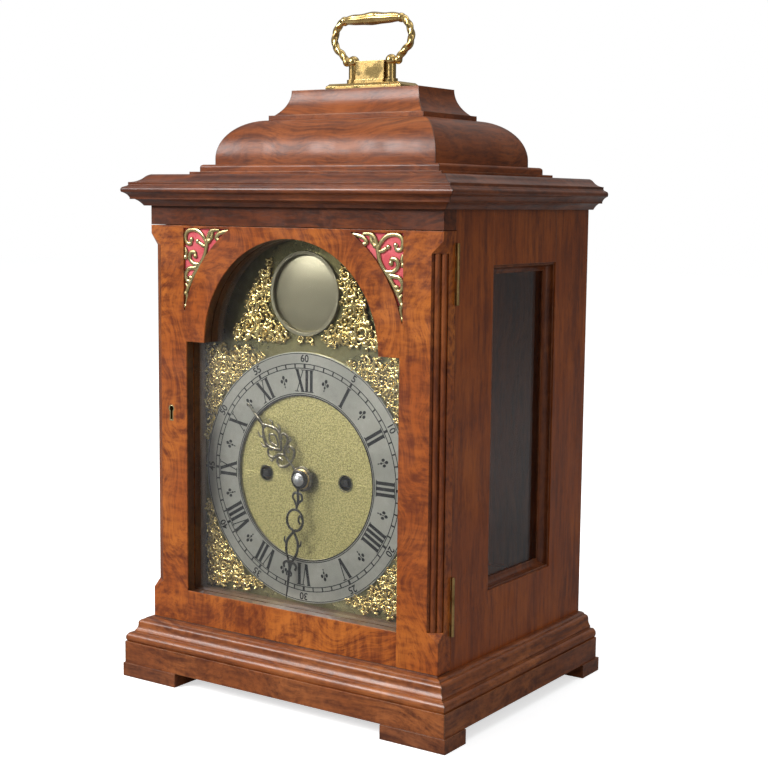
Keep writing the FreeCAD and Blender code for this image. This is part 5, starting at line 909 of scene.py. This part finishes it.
def smooth_line(points, steps=8):
    """Smooth curve through points: for each place its stretch, the share of it passed, and (u, v)."""
    last = len(points) - 1
    for k in range(last * steps + 1):
        i = min(k // steps, last - 1)
        f = (k - i * steps) / steps
        a, b, c, d = points[max(i - 1, 0)], points[i], points[i + 1], points[min(i + 2, last)]
        yield i, f, [0.5 * (2 * b[j] + (c[j] - a[j]) * f + (2 * a[j] - 5 * b[j] + 4 * c[j] - d[j]) * f * f
                            + (3 * b[j] - a[j] - 3 * c[j] + d[j]) * f ** 3) for j in (0, 1)]


def add_bar(bm, place, points, widths, flat=0.55):
    """Adds a rounded bar through (u, v) points, in millimetres, with a width at each."""
    middle_line, radii = [], []
    for i, f, (u, v) in smooth_line(points):
        middle_line.append(place(u, v))
        radii.append((widths[i] * (1 - f) + widths[i + 1] * f) / 2 * MM)
    add_tube(bm, middle_line, radii, flat=flat, sides=8)


def add_bars(bm, place, bars, sides=(1,)):
    """Adds a set of bars, and their mirror images where two sides are given."""
    for side in sides:
        for points, widths in bars:
            add_bar(bm, place, [(side * u, v) for u, v in points], widths)


def add_disc(bm, centre, radius, front, back, steps=48, inner=0.0):
    """Adds a disc or washer facing the front."""
    loops = []
    eased = front + 0.25 * MM
    for r, y in ((inner, front), (radius * 0.94, front), (radius, eased), (radius, back), (inner, back)):
        loops.append(circle_of_points(bm, centre, r, y, steps))
    skin(bm, loops, steps)
    bmesh.ops.remove_doubles(bm, verts=bm.verts, dist=1e-7)


def finish_hand(name, bm, body, node):
    """Makes the hand's piece and lets it stand for the plain one."""
    hand = piece(name, bm, node, body)
    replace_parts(hand, node)
    return hand


# The hands' bars: (across, along) points from the middle of the dial, and the width at each point.
HOUR_ANGLE, MINUTE_ANGLE = 315.5, 187.5
COLLAR_HOLE = 3.4 * MM
HOUR_STEM = (([(0, 4), (0, 14), (0, 22)], [2.4, 1.9, 1.6]),)
HOUR_SCROLLS = (
    ([(0, 14), (4.2, 14.6), (8.2, 17.6), (8.0, 21.8), (4.8, 22.4), (4.0, 19.6)],
     [1.8, 2.1, 2.2, 1.9, 1.7, 2.4]),
    ([(0, 21), (3.4, 24.2), (8.4, 25.4), (10.6, 29.4), (8.2, 32.6), (5.4, 30.4)],
     [1.8, 2.2, 2.3, 2.0, 1.8, 2.5]),
    ([(0, 25), (4.6, 30.6), (7.0, 36.6), (4.4, 42.4), (0, 48.0)], [2.0, 2.4, 2.7, 2.3, 2.2]),
    ([(6.4, 34.0), (9.6, 36.4), (10.0, 40.0)], [1.9, 1.8, 0.9]),
    ([(5.0, 41.0), (7.4, 43.6), (6.6, 47.0)], [1.9, 1.6, 0.9]),
    ([(0, 39.5), (3.0, 36.0), (2.0, 31.8), (0, 28.4)], [1.4, 1.7, 1.7, 1.4]),
    ([(8.4, 25.6), (11.2, 24.6), (12.0, 27.4)], [1.5, 1.4, 0.9]))
HOUR_TIP = (([(0, 45), (0, 50), (0, 53), (0, 58), (0, 67)], [2.6, 2.8, 3.4, 1.9, 0.9]),)
MINUTE_STEM = (([(0, 3), (0.3, 8), (-0.8, 14), (0, 22)], [2.6, 2.2, 2.4, 1.6]),)
MINUTE_KNOT = (([(0, 9.5), (3.0, 10.2), (4.0, 13.2), (2.0, 15.4), (0, 19)], [1.9, 2.0, 1.8, 1.8, 1.6]),)
RING_POINTS = [(6.7 * math.sin(math.pi * k / 6), 28.6 + 7.4 * math.cos(math.pi * k / 6)) for k in range(13)]
MINUTE_RING = (
    (RING_POINTS[:7], [1.6, 1.9, 2.2, 2.0, 1.7, 1.8, 1.9]),
    (RING_POINTS[6:], [1.9, 1.8, 1.8, 2.0, 2.2, 1.9, 1.6]),
    ([(-6.4, 27), (-3.6, 24.8), (-3.0, 28.2), (-4.8, 30.2)], [1.6, 1.6, 1.5, 1.8]))
MINUTE_SCROLLS = (
    ([(2.0, 35.0), (-1.0, 38.0), (-4.6, 44.0), (-4.4, 51.0), (-1.4, 58.0), (0, 64.0)],
     [1.8, 2.0, 2.2, 2.0, 1.8, 1.8]),
    ([(4.4, 47.0), (6.8, 44.6), (7.0, 41.6)], [1.6, 1.5, 0.9]),
    ([(0, 60), (2.8, 58.4), (5.4, 60.4), (4.6, 63.0)], [1.7, 1.9, 1.7, 1.9]),
    ([(0, 64.5), (2.0, 66.0), (1.6, 68.2)], [1.6, 1.5, 1.1]))
MINUTE_BLADE = (([(0, 57), (0, 66), (0, 76), (0, 84.4)], [2.2, 2.2, 1.6, 0.8]),)


def hour_hand():
    """Pierced hour hand: straight root, paired scrolls, broad pierced leaf and slim tip."""
    low, high = corners("hour_hand")
    y = (low.y + high.y) / 2
    place = hand_frame(HOUR_ANGLE, y)
    bm = bmesh.new()
    add_bars(bm, place, HOUR_STEM)
    add_bars(bm, place, HOUR_SCROLLS, (-1, 1))
    add_bars(bm, place, HOUR_TIP)
    add_disc(bm, dial_centre, 8.6 * MM, y - 0.4 * MM, y + 1.4 * MM, inner=COLLAR_HOLE)
    return finish_hand("pierced_hour_hand", bm, "hour_wheel", "hour_hand")


def minute_hand():
    """Pierced minute hand: knot, open ring, crossed scrolls and a long blade."""
    y = corners("minute_hand")[1].y - 0.45 * MM
    place = hand_frame(MINUTE_ANGLE, y)
    bm = bmesh.new()
    add_bars(bm, place, MINUTE_STEM)
    add_bars(bm, place, MINUTE_KNOT, (-1, 1))
    add_bars(bm, place, MINUTE_RING)
    add_bars(bm, place, MINUTE_SCROLLS, (-1, 1))
    add_bars(bm, place, MINUTE_BLADE)
    add_disc(bm, dial_centre, 6.4 * MM, y - 1.2 * MM, y + 0.7 * MM)
    return finish_hand("pierced_minute_hand", bm, "minute_arbor", "minute_hand")


def winding_rims():
    """Bright turned rims of the two winding holes."""
    bm = bmesh.new()
    for arbor in ("going_winding_arbor", "strike_winding_arbor"):
        low, high = corners(arbor)
        front, back = plate_front - 0.45 * MM, plate_front + 0.05 * MM
        add_ring(bm, (low + high) / 2, WINDING_RADIUS + 0.3 * MM, 0.8 * MM, front, back, 48)
    return piece("winding_rims", bm, "handle_mount", "case", smooth=False)


def hour_collar():
    """Brass collar between the hands."""
    hand_front = corners("hour_hand")[0].y
    bm = bmesh.new()
    add_disc(bm, dial_centre, 6.9 * MM, hand_front - 0.9 * MM, hand_front + 0.2 * MM, inner=COLLAR_HOLE)
    return piece("hour_collar", bm, "hour_wheel", "hour_wheel")


def centre_cap():
    """Bright domed cap in the middle of the hands."""
    y = corners("minute_hand")[1].y - 1.85 * MM
    bm = bmesh.new()
    add_disc(bm, dial_centre, 4.4 * MM, y - 0.5 * MM, y + 0.2 * MM)
    add_ball(bm, Vector((dial_centre.x, y - 0.4 * MM, dial_centre.z)), 3.2 * MM, 0.55, 24)
    return piece("centre_cap", bm, "hammer", "minute_arbor")


# ---------------- handle
# Half of the bail's middle line, from its pin up to the middle of the grip: out and up, in millimetres.
HALF_BAIL = [(21.6, 0), (24.8, 4.6), (31.0, 10.5), (32.2, 17.0), (30.0, 23.5), (26.0, 27.6), (19.2, 28.9),
             (10.5, 28.8), (0.0, 29.1)]
LIMB_RADIUS, GRIP_RADIUS = 2.4 * MM, 4.3 * MM
GRIP_SHARE = 0.17
PIN_RADIUS = 1.45 * MM
TWIST = 900.0


def twisted_bail():
    """Cast bail: rope-twisted limbs, collars and a leafy swelling in the grip."""
    pivot = Vector(joints["handle_hinge"]["pos_m"])
    chain = [(-x, z) for x, z in HALF_BAIL] + HALF_BAIL[-2::-1]
    points = [pivot + Vector((x, 0, z)) * MM for i, f, (x, z) in smooth_line(chain)]
    count = len(points)
    bm = bmesh.new()
    middle = count // 2
    grip = int(count * GRIP_SHARE)
    for limb in (points[:middle - grip + 1], points[middle + grip:]):
        add_tube(bm, limb, [LIMB_RADIUS] * len(limb), sides=24, lobes=3, depth=0.14, twist=TWIST)
    centre = points[middle - grip:middle + grip + 1]
    radii = []
    for k in range(len(centre)):
        t = abs(2 * k / (len(centre) - 1) - 1)
        swell = (1 - t ** 1.6) * (0.86 + 0.14 * math.cos(9 * t))
        radii.append(LIMB_RADIUS + (GRIP_RADIUS - LIMB_RADIUS) * swell)
    add_tube(bm, centre, radii, sides=32, lobes=8, depth=0.07)
    for k in (middle - grip, middle + grip):
        add_ball(bm, points[k], 3.3 * MM, 1.0, 16)
    for k in (middle - 2, middle + 2):
        add_ball(bm, points[k], 4.1 * MM, 1.0, 20)
    for side in (-1, 1):
        add_ball(bm, pivot + Vector((side * HALF_BAIL[0][0] * MM, 0, 0)), 3.0 * MM, 1.0, 18)
        pin = [pivot + Vector((side * x * MM, 0, 0)) for x in (22.0, 12.0)]
        add_tube(bm, pin, [PIN_RADIUS, PIN_RADIUS], sides=16)
    bail = piece("twisted_bail", bm, "handle_bail", "handle_bail")
    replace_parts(bail, "handle_bail")
    return bail


# ---------------- stage
FLOOR_HALF = 6.0


def white_floor():
    """A pale floor under the clock: bright to the camera, dimmer in what it throws back."""
    bm = bmesh.new()
    square = ((-1, -1), (1, -1), (1, 1), (-1, 1))
    bm.faces.new([bm.verts.new((x * FLOOR_HALF, y * FLOOR_HALF, 0)) for x, y in square])
    mesh = bpy.data.meshes.new("floor")
    bm.to_mesh(mesh)
    bm.free()
    obj = in_scene("floor", mesh)
    material, n, shader = blank("floor_paint")
    faint = n.noise(n.position(), 3.0, 2.0)
    n.feed(shader.inputs["Base Color"], n.mix(faint, (0.80, 0.80, 0.80, 1), (0.83, 0.83, 0.83, 1)))
    shader.inputs["Roughness"].default_value = 0.9
    shader.inputs["Emission Color"].default_value = (1, 1, 1, 1)
    shader.inputs["Emission Strength"].default_value = 0.62
    dim = n.add("ShaderNodeBsdfDiffuse")
    dim.inputs["Color"].default_value = (0.30, 0.30, 0.30, 1)
    n.seen_or_not(shader, dim, n.tree.nodes["Material Output"].inputs["Surface"])
    mesh.materials.append(material)


def softbox(name, place, target, size, power, colour=(1, 1, 1)):
    """A rectangular studio light."""
    light = bpy.data.lights.new(name, "AREA")
    light.shape = "RECTANGLE"
    light.size, light.size_y = size
    light.energy = power
    light.color = colour
    obj = in_scene(name, light)
    obj.location = place
    obj.rotation_euler = (Vector(target) - Vector(place)).to_track_quat("-Z", "Y").to_euler()


def studio():
    """White backdrop, dim surroundings that brighten upwards, and three softboxes."""
    world = bpy.data.worlds.new("studio")
    world.use_nodes = True
    n = Nodes(world.node_tree)
    backdrop = world.node_tree.nodes["Background"]
    backdrop.inputs[0].default_value = (1.0, 1.0, 1.0, 1)
    room = n.add("ShaderNodeBackground")
    height = n.split(n.add("ShaderNodeTexCoord").outputs["Generated"])[2]
    n.feed(room.inputs[0], n.mix(n.between(height, -0.1, 0.9), (0.13, 0.13, 0.12, 1), (0.54, 0.55, 0.55, 1)))
    n.seen_or_not(backdrop, room, world.node_tree.nodes["World Output"].inputs[0])
    bpy.context.scene.world = world
    bpy.context.scene.view_settings.view_transform = "Standard"
    softbox("key_light", (-1.3, -1.9, 1.5), (0, 0, 0.22), (1.2, 1.2), 78)
    softbox("top_light", (0.2, 0.3, 2.2), (0, 0, 0.3), (1.6, 1.6), 13, (0.96, 0.98, 1.0))
    softbox("fill_light", (2.1, -1.2, 0.9), (0, 0, 0.2), (0.9, 1.4), 7)


CAMERA_PLACE = (607.7 * MM, -871.5 * MM, 339.3 * MM)
CAMERA_LENS, SENSOR = 70.65, 36.0


def place_camera():
    """Camera at the photograph's place and angle."""
    yaw, pitch, roll = 0.5968, -0.1200, 0.0099
    forward = Vector((-math.sin(yaw) * math.cos(pitch), math.cos(yaw) * math.cos(pitch), math.sin(pitch)))
    level = Vector((math.cos(yaw), math.sin(yaw), 0))
    upright = level.cross(forward)
    right = level * math.cos(roll) + upright * math.sin(roll)
    up = upright * math.cos(roll) - level * math.sin(roll)
    data = bpy.data.cameras.new("camera")
    data.sensor_width = SENSOR
    data.lens = CAMERA_LENS
    data.clip_start = 10 * MM
    camera = in_scene("camera", data)
    turn = Matrix((right, up, -forward)).transposed().to_4x4()
    camera.matrix_world = Matrix.Translation(CAMERA_PLACE) @ turn
    bpy.context.scene.camera = camera


place_camera()
studio()
white_floor()
chapter_engraving()
minute_numbers()
matted_centre()
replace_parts(spandrel_castings(), "spandrels")
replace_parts(pierced_frets(), "corner_frets")
hour_hand()
minute_hand()
winding_rims()
hour_collar()
centre_cap()
twisted_bail()
